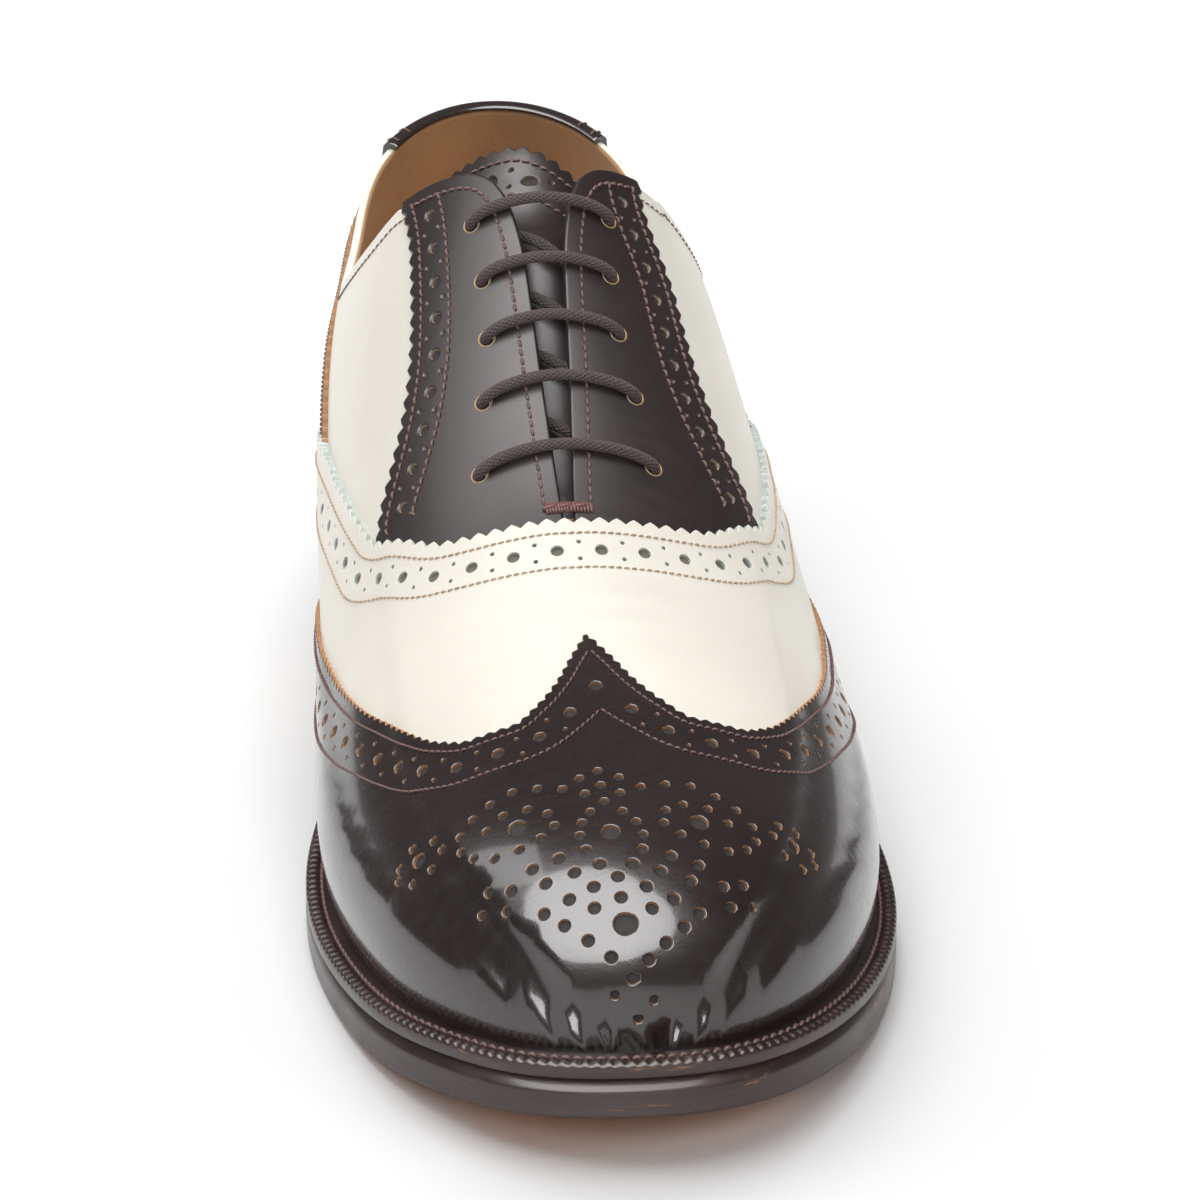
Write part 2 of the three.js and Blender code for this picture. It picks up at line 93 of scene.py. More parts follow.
LAST_COLUMNS = ("back", "outer", "inner", "centre", "rise", "lean", "wall", "crown",
                "outer_bulge", "inner_bulge", "edge")
LAST_ROWS = np.array((
    (1.000, 0.059, 0.059, 0.059, 0.000, 0.000, 0.60, 0.62, 0.000, 0.000, 8.4),
    (0.990, 0.211, -0.104, 0.053, 0.160, 0.004, 0.60, 0.62, 0.016, 0.016, 8.4),
    (0.957, 0.335, -0.223, 0.049, 0.278, 0.005, 0.58, 0.62, 0.043, 0.043, 8.4),
    (0.906, 0.438, -0.327, 0.045, 0.364, 0.003, 0.56, 0.62, 0.069, 0.069, 8.4),
    (0.838, 0.516, -0.399, 0.038, 0.428, 0.000, 0.54, 0.60, 0.090, 0.096, 8.4),
    (0.758, 0.557, -0.441, 0.030, 0.500, 0.000, 0.50, 0.58, 0.106, 0.117, 8.4),
    (0.669, 0.553, -0.436, 0.021, 0.603, 0.000, 0.46, 0.56, 0.128, 0.149, 8.2),
    (0.575, 0.509, -0.386, 0.016, 0.737, 0.000, 0.42, 0.56, 0.165, 0.234, 7.6),
    (0.481, 0.447, -0.346, 0.011, 0.860, 0.007, 0.40, 0.57, 0.213, 0.298, 6.5),
    (0.383, 0.399, -0.340, 0.005, 0.960, 0.028, 0.38, 0.58, 0.223, 0.287, 5.2),
    (0.286, 0.367, -0.340, 0.000, 1.045, 0.063, 0.36, 0.58, 0.207, 0.245, 4.5),
    (0.195, 0.340, -0.330, 0.000, 1.117, 0.111, 0.34, 0.58, 0.181, 0.197, 4.2),
    (0.118, 0.314, -0.314, 0.000, 1.165, 0.153, 0.32, 0.62, 0.160, 0.160, 4.2),
    (0.056, 0.255, -0.255, 0.000, 1.192, 0.192, 0.31, 0.67, 0.125, 0.125, 4.2),
    (0.016, 0.140, -0.140, 0.000, 1.206, 0.216, 0.30, 0.70, 0.106, 0.106, 4.2),
    (0.000, 0.000, 0.000, 0.000, 1.206, 0.226, 0.30, 0.71, 0.100, 0.100, 4.2),
))
HEEL_BACK = len(LAST_ROWS) - 1
LOOP = 2 * HEEL_BACK

# Edges of the pieces as (place, value): a station counts rows from the toe, and a side share is 0 on
# the ridge and 1 at the feather line
WING_EDGE = ((0, 5.24), (.04, 5.02), (.08, 4.77), (.13, 4.55), (.2, 4.37), (.3, 4.39), (.38, 4.58),
             (.44, 4.88), (.5, 5.25), (.56, 5.6), (.64, 6.2), (.72, 6.95), (.8, 7.7), (.9, 8.35), (1, 8.6))
VAMP_EDGE = ((0, 6.29), (.1, 6.31), (.2, 6.36), (.3, 6.47), (.42, 6.8), (.5, 7.05), (.55, 7.4), (.6, 7.8),
             (.65, 8.2), (.7, 8.6), (.74, 8.9), (.78, 9.2), (.84, 9.5), (.92, 9.75), (1, 9.85))
FACING_OUTER = ((6.1, .33), (6.9, .47), (7.03, .48), (7.2, .465), (7.4, .43), (7.7, .385), (8, .36),
                (8.4, .345), (8.8, .34), (9.2, .355), (9.6, .43))
FACING_INNER = ((6.1, .018), (6.33, .02), (7, .035), (7.4, .045), (7.8, .053), (8.2, .063), (8.55, .085),
                (8.8, .12), (8.95, .165), (9.1, .25), (9.3, .38))
COUNTER_EDGE = ((8.5, .737), (9.55, .735), (10.1, .722), (10.8, .715), (12, .7), (13, .675), (14, .66),
                (15, .655), (16, .66))
EYELETS = ((6.85, .21), (7.33, .19), (7.75, .17), (8.16, .17), (8.6, .185))
TOPLINE = ((-12, 89.5), (5, 89), (20, 85.5), (40, 80.5), (57, 77.6), (70, 77.4), (80, 79.8), (90, 86.5),
           (98, 95.5), (103, 104.5), (107, 111), (112, 115.5), (117, 118), (121, 121))
TONGUE_TOP = ((-.43, 9.45), (-.4, 9.58), (-.33, 9.6), (-.2, 9.52), (-.1, 9.44), (0, 9.38), (.1, 9.3), (.2, 9.2),
              (.3, 9.06), (.36, 8.9))
TONGUE_START, TONGUE_FOOT = 6.05, 0.25

# The toe's punched ornament: (station, side share off its axis, diameter); rows off the axis are mirrored
ORNAMENT_AXIS = -0.035
ORNAMENT_SKEW = 0.28
ORNAMENT = (
    (0.42, 0, 1.9), (0.89, 0, 2.5), (1.51, 0, 4.4), (1.84, 0, 2.5), (2.11, 0, 2.5), (2.70, 0, 3.8),
    (3.13, 0, 2.1), (3.36, 0, 2.1), (3.56, 0, 2.1),
    (0.69, .165, 2.0), (1.12, .098, 2.5), (1.34, .183, 2.5), (1.58, .253, 2.5), (1.80, .303, 2.5),
    (2.05, .416, 2.3), (2.22, .496, 2.1), (1.72, .109, 2.5), (1.88, .189, 2.5), (1.99, .089, 2.5),
    (2.16, .240, 2.5), (2.21, .136, 2.5), (2.28, .050, 2.5), (2.39, .256, 2.5), (2.43, .166, 2.5),
    (2.48, .081, 2.3), (2.24, .356, 2.5), (2.38, .421, 2.3), (2.68, .086, 2.1), (2.85, .071, 2.1),
    (2.87, .144, 2.1), (2.97, .240, 3.8), (3.05, .150, 2.1), (2.99, .041, 2.1), (3.17, .195, 2.1),
    (3.25, .043, 2.1), (3.47, .047, 2.1), (3.35, .094, 2.1), (3.42, .153, 2.1), (3.46, .215, 2.1),
    (3.40, .278, 2.1), (3.31, .336, 2.1), (3.18, .389, 2.1), (3.19, .260, 2.1), (3.08, .319, 2.1),
    (2.69, .261, 2.1), (2.75, .192, 2.1), (2.71, .338, 2.1), (2.84, .391, 2.1), (3.01, .410, 2.1),
    (3.39, .461, 2.1), (3.22, .454, 2.1), (3.50, .524, 2.1), (3.32, .529, 3.3), (3.11, .514, 2.1),
    (3.44, .593, 2.1), (3.16, .591, 2.1), (3.35, .620, 2.1),
)


# Curves

def smooth(x):
    """An even rise from 0 to 1."""
    s = np.clip(x, 0, 1)
    return s * s * (3 - 2 * s)


def hermite(a, b, slope_a, slope_b, s):
    """From a to b as s goes from 0 to 1, with a slope at either end."""
    s2 = s * s
    s3 = s2 * s
    return ((2 * s3 - 3 * s2 + 1) * a + (s3 - 2 * s2 + s) * slope_a
            + (3 * s2 - 2 * s3) * b + (s3 - s2) * slope_b)


def loop_curve(values):
    """A smooth curve round a closed loop of values, one step apart."""
    values = np.asarray(values, float)
    count = len(values)
    slopes = np.zeros(count)
    for _ in range(60):
        for i in range(count):
            rise = 3 * (values[(i + 1) % count] - values[i - 1])
            slopes[i] = (rise - slopes[i - 1] - slopes[(i + 1) % count]) / 4

    def curve(place):
        turn = np.mod(np.asarray(place, float), count)
        i = np.floor(turn).astype(int) % count
        j = (i + 1) % count
        return hermite(values[i], values[j], slopes[i], slopes[j], turn - np.floor(turn))
    return curve


def row_curve(rows):
    """A curve through (place, value) rows that never overshoots them."""
    x, y = np.array(rows, float).T
    chord = np.diff(y) / np.diff(x)
    before = np.concatenate((chord[:1], chord))
    after = np.concatenate((chord, chord[-1:]))
    together = np.where(before + after == 0, 1, before + after)
    slopes = np.where(before * after <= 0, 0, 2 * before * after / together)

    def curve(place):
        place = np.clip(np.asarray(place, float), x[0], x[-1])
        i = np.clip(np.searchsorted(x, place) - 1, 0, len(x) - 2)
        width = x[i + 1] - x[i]
        return hermite(y[i], y[i + 1], slopes[i] * width, slopes[i + 1] * width, (place - x[i]) / width)
    return curve


def unit(vectors):
    length = np.linalg.norm(vectors, axis=-1, keepdims=True)
    return vectors / np.maximum(length, 1e-12)


def column(name):
    return LAST_ROWS[:, LAST_COLUMNS.index(name)]


def around(outer, inner):
    """A curve round the whole foot: up its outer side to the heel, and back along its inner side."""
    return loop_curve([*outer, *inner[1:-1][::-1]])


def both(name):
    return around(column(name), column(name))


rise_there_and_back = [*column("rise"), *column("rise")[1:-1][::-1]]
LAST = {
    "back": both("back"),
    "side": around(column("outer"), column("inner")),
    "centre": both("centre"),
    "rise": loop_curve(rise_there_and_back + [-value for value in rise_there_and_back]),
    "lean": both("lean"),
    "wall": both("wall"),
    "crown": both("crown"),
    "bulge": around(column("outer_bulge"), column("inner_bulge")),
    "edge": both("edge"),
}
wing_edge, vamp_edge = row_curve(WING_EDGE), row_curve(VAMP_EDGE)
facing_outer, facing_inner = row_curve(FACING_OUTER), row_curve(FACING_INNER)
counter_edge, topline = row_curve(COUNTER_EDGE), row_curve(TOPLINE)


def sole_height(back):
    """How high the outsole's underside is, by the distance from the back of the heel."""
    share = np.asarray(back, float) / LAST_LENGTH
    waist = smooth((WAIST_FRONT - share) / (WAIST_FRONT - WAIST_BACK))
    spring = np.clip((share - SPRING_START) / (1 - SPRING_START), 0, 2) ** 1.7
    return HEEL_HEIGHT * waist + TOE_SPRING * spring


def last_point(turn, height):
    """A point of the last: turn counts rows round the foot from the toe, and height is 1 on the ridge."""
    turn, height = np.broadcast_arrays(np.asarray(turn, float), np.asarray(height, float))
    station = np.abs(np.mod(turn + HEEL_BACK, LOOP) - HEEL_BACK)
    foot = np.stack((LAST["side"](turn) * BALL_WIDTH, LAST["back"](turn) * LAST_LENGTH), -1)
    ridge = np.stack((LAST["centre"](station) * BALL_WIDTH,
                      foot[..., 1] + LAST["lean"](station) * LAST_LENGTH), -1)
    outward = foot - ridge
    wall = foot + unit(outward) * (LAST["bulge"](turn) * BALL_WIDTH)[..., None]
    shoulder = ridge + outward * LAST["crown"](station)[..., None]
    rest = 1 - height
    weights = (rest ** 3, 3 * height * rest ** 2, 3 * height ** 2 * rest, height ** 3)
    plan = sum(w[..., None] * corner for w, corner in zip(weights, (foot, wall, shoulder, ridge)))
    up = LAST["rise"](station) * INSTEP_RISE * (LAST["wall"](station) * weights[1] + weights[2] + weights[3])
    base = sole_height(foot[..., 1]) + FEATHER - TIP_DROP * smooth(1 - station / TIP_STATION)
    return np.stack((plan[..., 0], HEEL_CENTRE - plan[..., 1], base + up), -1)


def last_normal(turn, height):
    tiny = 0.01
    along = last_point(turn + tiny, height) - last_point(turn - tiny, height)
    upward = last_point(turn, height + tiny) - last_point(turn, height - tiny)
    normal = unit(np.cross(along, upward))
    tip = np.abs(np.mod(turn + HEEL_BACK, LOOP) - HEEL_BACK) < 2 * tiny
    return np.where(tip[..., None], (0.0, -1.0, 0.0), normal)


class Surface:
    """A curved sheet with places q = (a, b), a level above it, and a flat plane to cut patterns on."""

    def __init__(self, place, normal, flat, unflat):
        self.place, self.normal, self.flat, self.unflat = place, normal, flat, unflat

    def at(self, q, level=0.0):
        q = np.asarray(q, float)
        if callable(level):
            level = level(q)
        level = np.broadcast_to(np.asarray(level, float), q.shape[:-1])
        return self.place(q) + self.normal(q) * level[..., None]

    def slopes(self, q, level):
        tiny = 1e-3
        shifts = np.array(((tiny, 0.0), (0.0, tiny)))
        return np.stack([(self.at(q + s, level) - self.at(q - s, level)) / (2 * tiny) for s in shifts], -1)

    def step(self, q, vectors, level):
        """Places reached from q by short vectors, in millimetres."""
        slopes = self.slopes(q, level)
        turned = np.swapaxes(slopes, -1, -2)
        square = turned @ slopes + np.eye(2) * 1e-9
        return q + np.linalg.solve(square, turned @ vectors[..., None])[..., 0]


def front_turn(q):
    """The turn and the height of a (station, side share)."""
    return np.where(q[..., 1] < 0, -q[..., 0], q[..., 0]), 1 - np.abs(q[..., 1])


STATIONS = np.linspace(0, HEEL_BACK, 601)
sections = last_point(STATIONS[:, None], np.linspace(0, 1, 41)[None])
HALF_WIDTHS = np.linalg.norm(np.diff(sections, axis=1), axis=-1).sum(1)
ridge_line = last_point(STATIONS, np.full(601, 0.5))
RIDGE_LENGTHS = np.concatenate(([0], np.cumsum(np.linalg.norm(np.diff(ridge_line, axis=0), axis=-1))))


def front_flat(q):
    """The front's flat pattern, in mm across the ridge and along it."""
    return np.stack((q[..., 1] * np.interp(q[..., 0], STATIONS, HALF_WIDTHS),
                     np.interp(q[..., 0], STATIONS, RIDGE_LENGTHS)), -1)


def front_unflat(p):
    station = np.interp(p[..., 1], RIDGE_LENGTHS, STATIONS)
    width = np.maximum(np.interp(station, STATIONS, HALF_WIDTHS), 1e-6)
    return np.stack((station, p[..., 0] / width), -1)


# q = (station, side share), either side of the ridge
FRONT = Surface(lambda q: last_point(*front_turn(q)), lambda q: last_normal(*front_turn(q)),
                front_flat, front_unflat)

TURNS = np.linspace(0, LOOP, 1201)
waist_line = last_point(TURNS, np.full(1201, 0.2))
TURN_LENGTHS = np.concatenate(([0], np.cumsum(np.linalg.norm(np.diff(waist_line, axis=0), axis=-1))))
WALL_LENGTH = 90.0

# q = (turn, height), round the heel
BACK = Surface(
    lambda q: last_point(q[..., 0], q[..., 1]), lambda q: last_normal(q[..., 0], q[..., 1]),
    lambda q: np.stack((np.interp(q[..., 0], TURNS, TURN_LENGTHS), q[..., 1] * WALL_LENGTH), -1),
    lambda p: np.stack((np.interp(p[..., 0], TURN_LENGTHS, TURNS), p[..., 1] / WALL_LENGTH), -1))


def level_plane(height, facing):
    """The bottom's plan view q = (x, y), lifted to a height that follows the sole."""
    def place(q):
        return np.stack((q[..., 0], q[..., 1], height(HEEL_CENTRE - q[..., 1])), -1)

    def normal(q):
        tiny = 0.05
        ahead, behind = place(q + (0, tiny)), place(q - (0, tiny))
        rise = (ahead - behind)[..., 2] / (2 * tiny)
        up = unit(np.stack((np.zeros_like(rise), -rise, np.ones_like(rise)), -1))
        return up * facing
    return Surface(place, normal, lambda q: q, lambda p: p)


# Lines on a surface

def lengths_along(points):
    return np.concatenate(([0], np.cumsum(np.linalg.norm(np.diff(points, axis=0), axis=-1))))


def resample(surface, line, spacing, level=0.0, count=None):
    """The same line with its places an even length apart."""
    line = np.asarray(line, float)
    lengths = lengths_along(surface.at(line, level))
    count = count or max(2, int(round(lengths[-1] / spacing)) + 1)
    even = np.linspace(0, lengths[-1], count)
    return np.stack([np.interp(even, lengths, line[:, k]) for k in (0, 1)], -1)


def shifted(surface, line, distance, level=0.0):
    """A line moved sideways across its surface: a positive distance goes left of its direction."""
    line = np.asarray(line, float)
    tangent = unit(np.gradient(surface.at(line, level), axis=0))
    distance = np.broadcast_to(np.asarray(distance, float), (len(line),))
    count = max(1, int(np.ceil(np.abs(distance).max() / 1.5)))
    moved = line
    for _ in range(count):
        across = unit(np.cross(surface.normal(moved), tangent))
        moved = surface.step(moved, across * (distance / count)[:, None], level)
    return moved


def without_folds(surface, line, moved, level=0.0):
    """The moved line where it still runs the way of the line that it came from."""
    before = np.gradient(surface.at(line, level), axis=0)
    after = np.gradient(surface.at(moved, level), axis=0)
    return moved[(before * after).sum(-1) > 0]


TOOTH = np.array((0.0, 0.36, 0.72, 1.0, 0.72, 0.36))


def pinked(surface, line, pitch, depth, level):
    """A line cut into pinked teeth that stand left of it."""
    teeth = max(1, int(round(lengths_along(surface.at(line, level))[-1] / pitch)))
    even = resample(surface, line, 1, level, count=teeth * len(TOOTH) + 1)
    wave = np.append(np.tile(TOOTH, teeth), TOOTH[0]) - 0.5
    return shifted(surface, even, wave * depth, level)


def ring(surface, centres, radii, count, level):
    """Circles on the surface round each centre: rings[i, j] is place j of ring i."""
    centres = np.asarray(centres, float)
    slopes = surface.slopes(centres, level)
    first = unit(slopes[..., 0])
    second = np.cross(surface.normal(centres), first)
    angles = np.linspace(0, 2 * math.pi, count, endpoint=False)
    round_ = (first[:, None] * np.cos(angles)[None, :, None]
              + second[:, None] * np.sin(angles)[None, :, None]) * np.asarray(radii, float)[:, None, None]
    return surface.step(np.repeat(centres[:, None], count, 1), round_, level)


def crossings(polygon, points):
    """Whether each point lies inside a closed polygon."""
    a, b = polygon, np.roll(polygon, -1, axis=0)
    inside = np.zeros(len(points), bool)
    for start in range(0, len(points), 2000):
        x, y = points[start:start + 2000].T[:, :, None]
        spans = (a[:, 1] > y) != (b[:, 1] > y)
        height = np.where(b[:, 1] == a[:, 1], 1e-12, b[:, 1] - a[:, 1])
        hits = spans & (x < (b[:, 0] - a[:, 0]) * (y - a[:, 1]) / height + a[:, 0])
        inside[start:start + 2000] = hits.sum(1) % 2 == 1
    return inside


# Meshes

class Skin:
    """Points and faces, with the direction that each corner shines in and a finish for each face."""

    def __init__(self):
        self.points, self.faces, self.shine, self.finish, self.count = [], [], [], [], 0

    def add(self, points):
        points = np.asarray(points, float).reshape(-1, 3)
        start = self.count
        self.points.append(points)
        self.count += len(points)
        return np.arange(start, self.count)

    def face(self, corners, shine, finish=0):
        """Faces from corner numbers (faces, corners) and directions (faces, corners, 3)."""
        corners = np.asarray(corners)
        self.faces.extend(corners.tolist())
        self.shine.extend(np.broadcast_to(shine, corners.shape + (3,)).reshape(len(corners), -1, 3))
        self.finish.extend(np.broadcast_to(finish, len(corners)).tolist())

    def strip(self, first, second, shine_first, shine_second, finish=0, closed=True):
        """Quads between two rows of points."""
        count = len(first) if closed else len(first) - 1
        i = np.arange(count)
        j = (i + 1) % len(first)
        corners = np.stack((first[i], first[j], second[j], second[i]), -1)
        shine = np.stack((shine_first[i], shine_first[j], shine_second[j], shine_second[i]), 1)
        self.face(corners, shine, finish)

    def piece(self, name, materials, slot, replaces=()):
        points = np.concatenate(self.points) * MM
        mesh = bpy.data.meshes.new(name)
        faces, shine = [], []
        for corners, direction in zip(self.faces, self.shine):
            a, b, c = points[corners[0]], points[corners[1]], points[corners[2]]
            d = points[corners[-1]]
            way = np.cross(b - a, c - a) + np.cross(c - a, d - a)
            if np.dot(way, direction.sum(0)) < 0:
                corners, direction = corners[::-1], direction[::-1]
            faces.append(corners)
            shine.append(direction)
        mesh.from_pydata(points.tolist(), [], faces)
        for material in materials:
            mesh.materials.append(material)
        mesh.polygons.foreach_set("material_index", self.finish)
        mesh.polygons.foreach_set("use_smooth", [True] * len(faces))
        mesh.normals_split_custom_set(np.concatenate(shine).tolist())
        mesh.update()
        return dress(mesh, name, replaces)


def dress(mesh, name, replaces=()):
    """Links a finished mesh, hangs it on the body that it rides on, and hides the CAD parts that it replaces."""
    piece = bpy.data.objects.new(name, mesh)
    bpy.context.scene.collection.objects.link(piece)
    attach(piece, BODY)
    if replaces:
        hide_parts(*replaces)
    return piece


def simple_mesh(name, points, faces, material):
    """A smooth mesh from points in millimetres and tuples of corners."""
    mesh = bpy.data.meshes.new(name)
    mesh.from_pydata((points.reshape(-1, 3) * MM).tolist(), [], faces)
    mesh.materials.append(material)
    mesh.polygons.foreach_set("use_smooth", [True] * len(faces))
    mesh.update()
    return mesh


def facing_out(mesh):
    """Turns a closed mesh's faces outward."""
    work = bmesh.new()
    work.from_mesh(mesh)
    bmesh.ops.recalc_face_normals(work, faces=work.faces)
    work.to_mesh(mesh)
    work.free()


def edge_directions(points, normals, towards=None):
    """Directions that lead out of a closed ring's leather, in its surface."""
    tangent = unit(np.roll(points, -1, axis=0) - np.roll(points, 1, axis=0))
    out = unit(np.cross(tangent, normals))
    if towards is not None and ((towards - points) * out).sum() < 0:
        out = -out
    return out


def rounded(radius, depth, steps=3):
    """A profile of (out, down, angle) that turns over a rounded lip and goes straight down."""
    angles = np.linspace(0, math.pi / 2, steps + 1)
    return [(radius * math.sin(a), radius * (1 - math.cos(a)), a) for a in angles] + [(radius, depth, math.pi / 2)]


def tilted(surface, places, level, step=0.4):
    """The surface's normals, tilted where the leather rises and falls."""
    normals = surface.normal(places)
    ahead = unit(np.cross(normals, (1.0, 0.0, 0.0)))
    result = normals
    for way in (ahead, np.cross(normals, ahead)):
        rise = level(surface.step(places, way * step, 0.0)) - level(surface.step(places, -way * step, 0.0))
        result = result - way * (rise / (2 * step))[:, None]
    return unit(result)


OUTLINE, PUNCHED, THROUGH = 0, 1, 2


def mean_level(top, outline):
    return float(np.mean(top(outline))) if callable(top) else top


def cut_pattern(surface, outline, holes, through, top, lip):
    """The outline and the rings of the holes that lie inside it: rings, flat rings, kinds and centres."""
    rings, kinds, centres = [np.asarray(outline, float)], [OUTLINE], [None]
    level = mean_level(top, outline)
    for kind, group in ((PUNCHED, holes), (THROUGH, through)):
        for q, diameter in group:
            count = 16 if diameter > 2.8 else 12 if diameter > 1.5 else 8
            rings.append(ring(surface, np.asarray(q)[None], [diameter / 2 + lip / 2], count, level)[0])
            kinds.append(kind)
            centres.append(surface.at(np.asarray(q), top))
    flats = [surface.flat(r) for r in rings]
    kept = [0] + [k for k in range(1, len(rings)) if crossings(flats[0], flats[k]).all()]
    return ([group[k] for k in kept] for group in (rings, flats, kinds, centres))


def places_inside(flats, spacing):
    """An even grid of flat places inside the outline, clear of it and of every hole."""
    border = np.concatenate(flats)
    low_corner, high_corner = border.min(0), border.max(0)
    across = np.arange(low_corner[0], high_corner[0], spacing)
    along = np.arange(low_corner[1], high_corner[1], spacing * 0.87)
    grid = np.stack(np.meshgrid(across, along), -1)
    grid[1::2, :, 0] += spacing / 2
    inner = grid.reshape(-1, 2)
    inner = inner[crossings(flats[0], inner)]
    near = KDTree(len(border))
    for i, p in enumerate(border):
        near.insert((p[0], p[1], 0), i)
    near.balance()
    clear = np.array([near.find((p[0], p[1], 0))[2] > spacing * 0.45 for p in inner], bool)
    for flat in flats[1:]:
        middle = flat.mean(0)
        reach = np.linalg.norm(flat - middle, axis=1).max()
        clear &= np.linalg.norm(inner - middle, axis=1) > reach
    return inner[clear]


def triangulated(flats, inner):
    """Triangles over the rings and the places inside, and the number of the ring that owns each corner."""
    flat = np.concatenate((*flats, inner))
    edges, owner, start = [], np.full(len(flat), -1), 0
    for k, r in enumerate(flats):
        count = len(r)
        edges.extend((start + i, start + (i + 1) % count) for i in range(count))
        owner[start:start + count] = k
        start += count
    found = delaunay_2d_cdt([Vector(p) for p in flat], edges, [], 0, 1e-5)
    origin = np.array([o[0] if o else -1 for o in found[3]])
    triangles = np.array([[origin[c] for c in face] for face in found[2]])
    triangles = triangles[(triangles >= 0).all(1)]
    return triangles[crossings(flats[0], flat[triangles].mean(1))], owner


def leads_in(surface, outline, flat, out, level):
    """Whether short steps off a panel's outline lead into the panel."""
    steps = surface.flat(surface.step(outline, out * 0.02, level)) - flat
    forward = np.roll(flat, -1, axis=0) - flat
    turning = (forward[:, 0] * steps[:, 1] - forward[:, 1] * steps[:, 0]).sum()
    x, y = flat.T
    return turning * (x * np.roll(y, -1) - np.roll(x, -1) * y).sum() > 0


def panel(name, surface, outline, holes, top, low, lip, spacing, materials, slot, replaces=(), through=(),
          edge=None, wall=1):
    """A leather panel with a cut outline, a thickness and punched holes.

    holes and through are (places, diameters): punched holes end on a floor, and through holes don't.
    materials are the face, the raw edge and the floor of the holes.
    """
    rings, flats, kinds, centres = cut_pattern(surface, outline, holes, through, top, lip)
    inner = places_inside(flats, spacing)
    triangles, owner = triangulated(flats, inner)
    owners = owner[triangles]
    in_hole = (owners[:, 0] > 0) & (owners[:, 0] == owners[:, 1]) & (owners[:, 1] == owners[:, 2])
    solid = triangles[~in_hole]
    places = np.concatenate(rings + [surface.unflat(inner)])
    normals = tilted(surface, places, top) if callable(top) else surface.normal(places)
    upper_points = surface.at(places, top)
    skin = Skin()
    skin.add(upper_points)
    skin.face(solid, normals[solid])
    lower = np.full(len(places), -1)
    start = 0
    for k, r in enumerate(rings):
        index = np.arange(start, start + len(r))
        start += len(r)
        points, normal = upper_points[index], normals[index]
        out = edge_directions(points, normal, centres[k])
        if k == 0 and leads_in(surface, r, flats[0], out, mean_level(top, outline)):
            out = -out
        thickness = np.linalg.norm(surface.at(r, top) - surface.at(r, low), axis=-1)
        if kinds[k] == PUNCHED:
            thickness = np.minimum(thickness * 0.8, HOLE_DEPTH)
        profile = edge if edge and k == 0 else rounded(lip, 1.0)
        previous, shine = index, normal
        for step, (reach, down, angle) in enumerate(profile[1:]):
            drop = thickness if step == len(profile) - 2 else np.full(len(r), down)
            current = skin.add(points + out * reach - normal * drop[:, None])
            direction = unit(normal * math.cos(angle) + out * math.sin(angle))
            skin.strip(previous, current, shine, direction, 0 if angle < 1.2 else wall if k == 0 else 1)
            previous, shine = current, direction
        if kinds[k] == PUNCHED:
            skin.face([previous], normal[None], 2)
        lower[index] = previous
    punched = [k for k, kind in enumerate(kinds) if kind == PUNCHED]
    pierced = [k for k, kind in enumerate(kinds) if kind == THROUGH]
    underneath = (lower < 0) | np.isin(owner, punched)
    lower[underneath] = skin.add(surface.at(places[underneath], low))
    under = triangles[~(in_hole & np.isin(owners[:, 0], pierced))]
    skin.face(lower[under], -normals[under], min(3, len(materials) - 1) if edge else 1)
    return skin.piece(name, materials, slot, replaces)


def thread_shape(length, radius):
    """One stitch: a short thread that dives at both ends."""
    places = np.array((-0.5, -0.42, -0.22, 0.0, 0.22, 0.42, 0.5))
    lifts = np.array((-0.55, 0.0, 0.62, 0.75, 0.62, 0.0, -0.55)) * radius
    widths = np.array((0.45, 0.85, 1.0, 1.0, 1.0, 0.85, 0.45)) * radius
    angles = np.linspace(0, 2 * math.pi, 6, endpoint=False)
    points = [(place * length, width * math.cos(a), lift + width * math.sin(a))
              for place, lift, width in zip(places, lifts, widths) for a in angles]
    faces = []
    for i in range(len(places) - 1):
        for j in range(6):
            k = (j + 1) % 6
            faces.append((i * 6 + j, i * 6 + k, (i + 1) * 6 + k, (i + 1) * 6 + j))
    faces.append(tuple(range(5, -1, -1)))
    last = (len(places) - 1) * 6
    faces.append(tuple(range(last, last + 6)))
    return np.array(points), faces


def frames_along(surface, line, pitch, level):
    """Middle, direction and normal of each stitch along a line."""
    even = resample(surface, line, pitch, level)
    points = surface.at(even, level)
    middle = (points[1:] + points[:-1]) / 2
    normal = surface.normal((even[1:] + even[:-1]) / 2)
    return middle, unit(points[1:] - points[:-1]), normal


STITCH_SHARE = 0.86
STITCH_SLANT = 0.12


def stitches(name, runs, radius, material):
    """Every stitch of some runs of (middles, directions, normals, pitch), as one mesh."""
    points, faces, count = [], [], 0
    for middle, direction, normal, pitch in runs:
        shape, quads = thread_shape(pitch * STITCH_SHARE, radius)
        side = unit(np.cross(normal, direction))
        ahead = unit(direction + side * STITCH_SLANT)
        side = unit(np.cross(normal, ahead))
        placed = (middle[:, None] + ahead[:, None] * shape[None, :, :1]
                  + side[:, None] * shape[None, :, 1:2] + normal[:, None] * shape[None, :, 2:])
        for i in range(len(middle)):
            faces.extend(tuple(c + count + i * len(shape) for c in face) for face in quads)
        points.append(placed.reshape(-1, 3))
        count += len(middle) * len(shape)
    return dress(simple_mesh(name, np.concatenate(points), faces, material), name)


def run(surface, line, pitch, level):
    return (*frames_along(surface, line, pitch, level), pitch)


def band(surface, line, pitch, level, big, small, spread):
    """Punched holes along a line: a big one, then a pair of small ones across the band."""
    count = int(lengths_along(surface.at(line, level))[-1] / pitch)
    even = resample(surface, line, pitch / 2, level, count=2 * count + 1)
    holes = [(q, big) for q in even[1::2]]
    for side in (-spread, spread):
        holes += [(q, small) for q in shifted(surface, even, side, level)[2:-1:2]]
    return holes


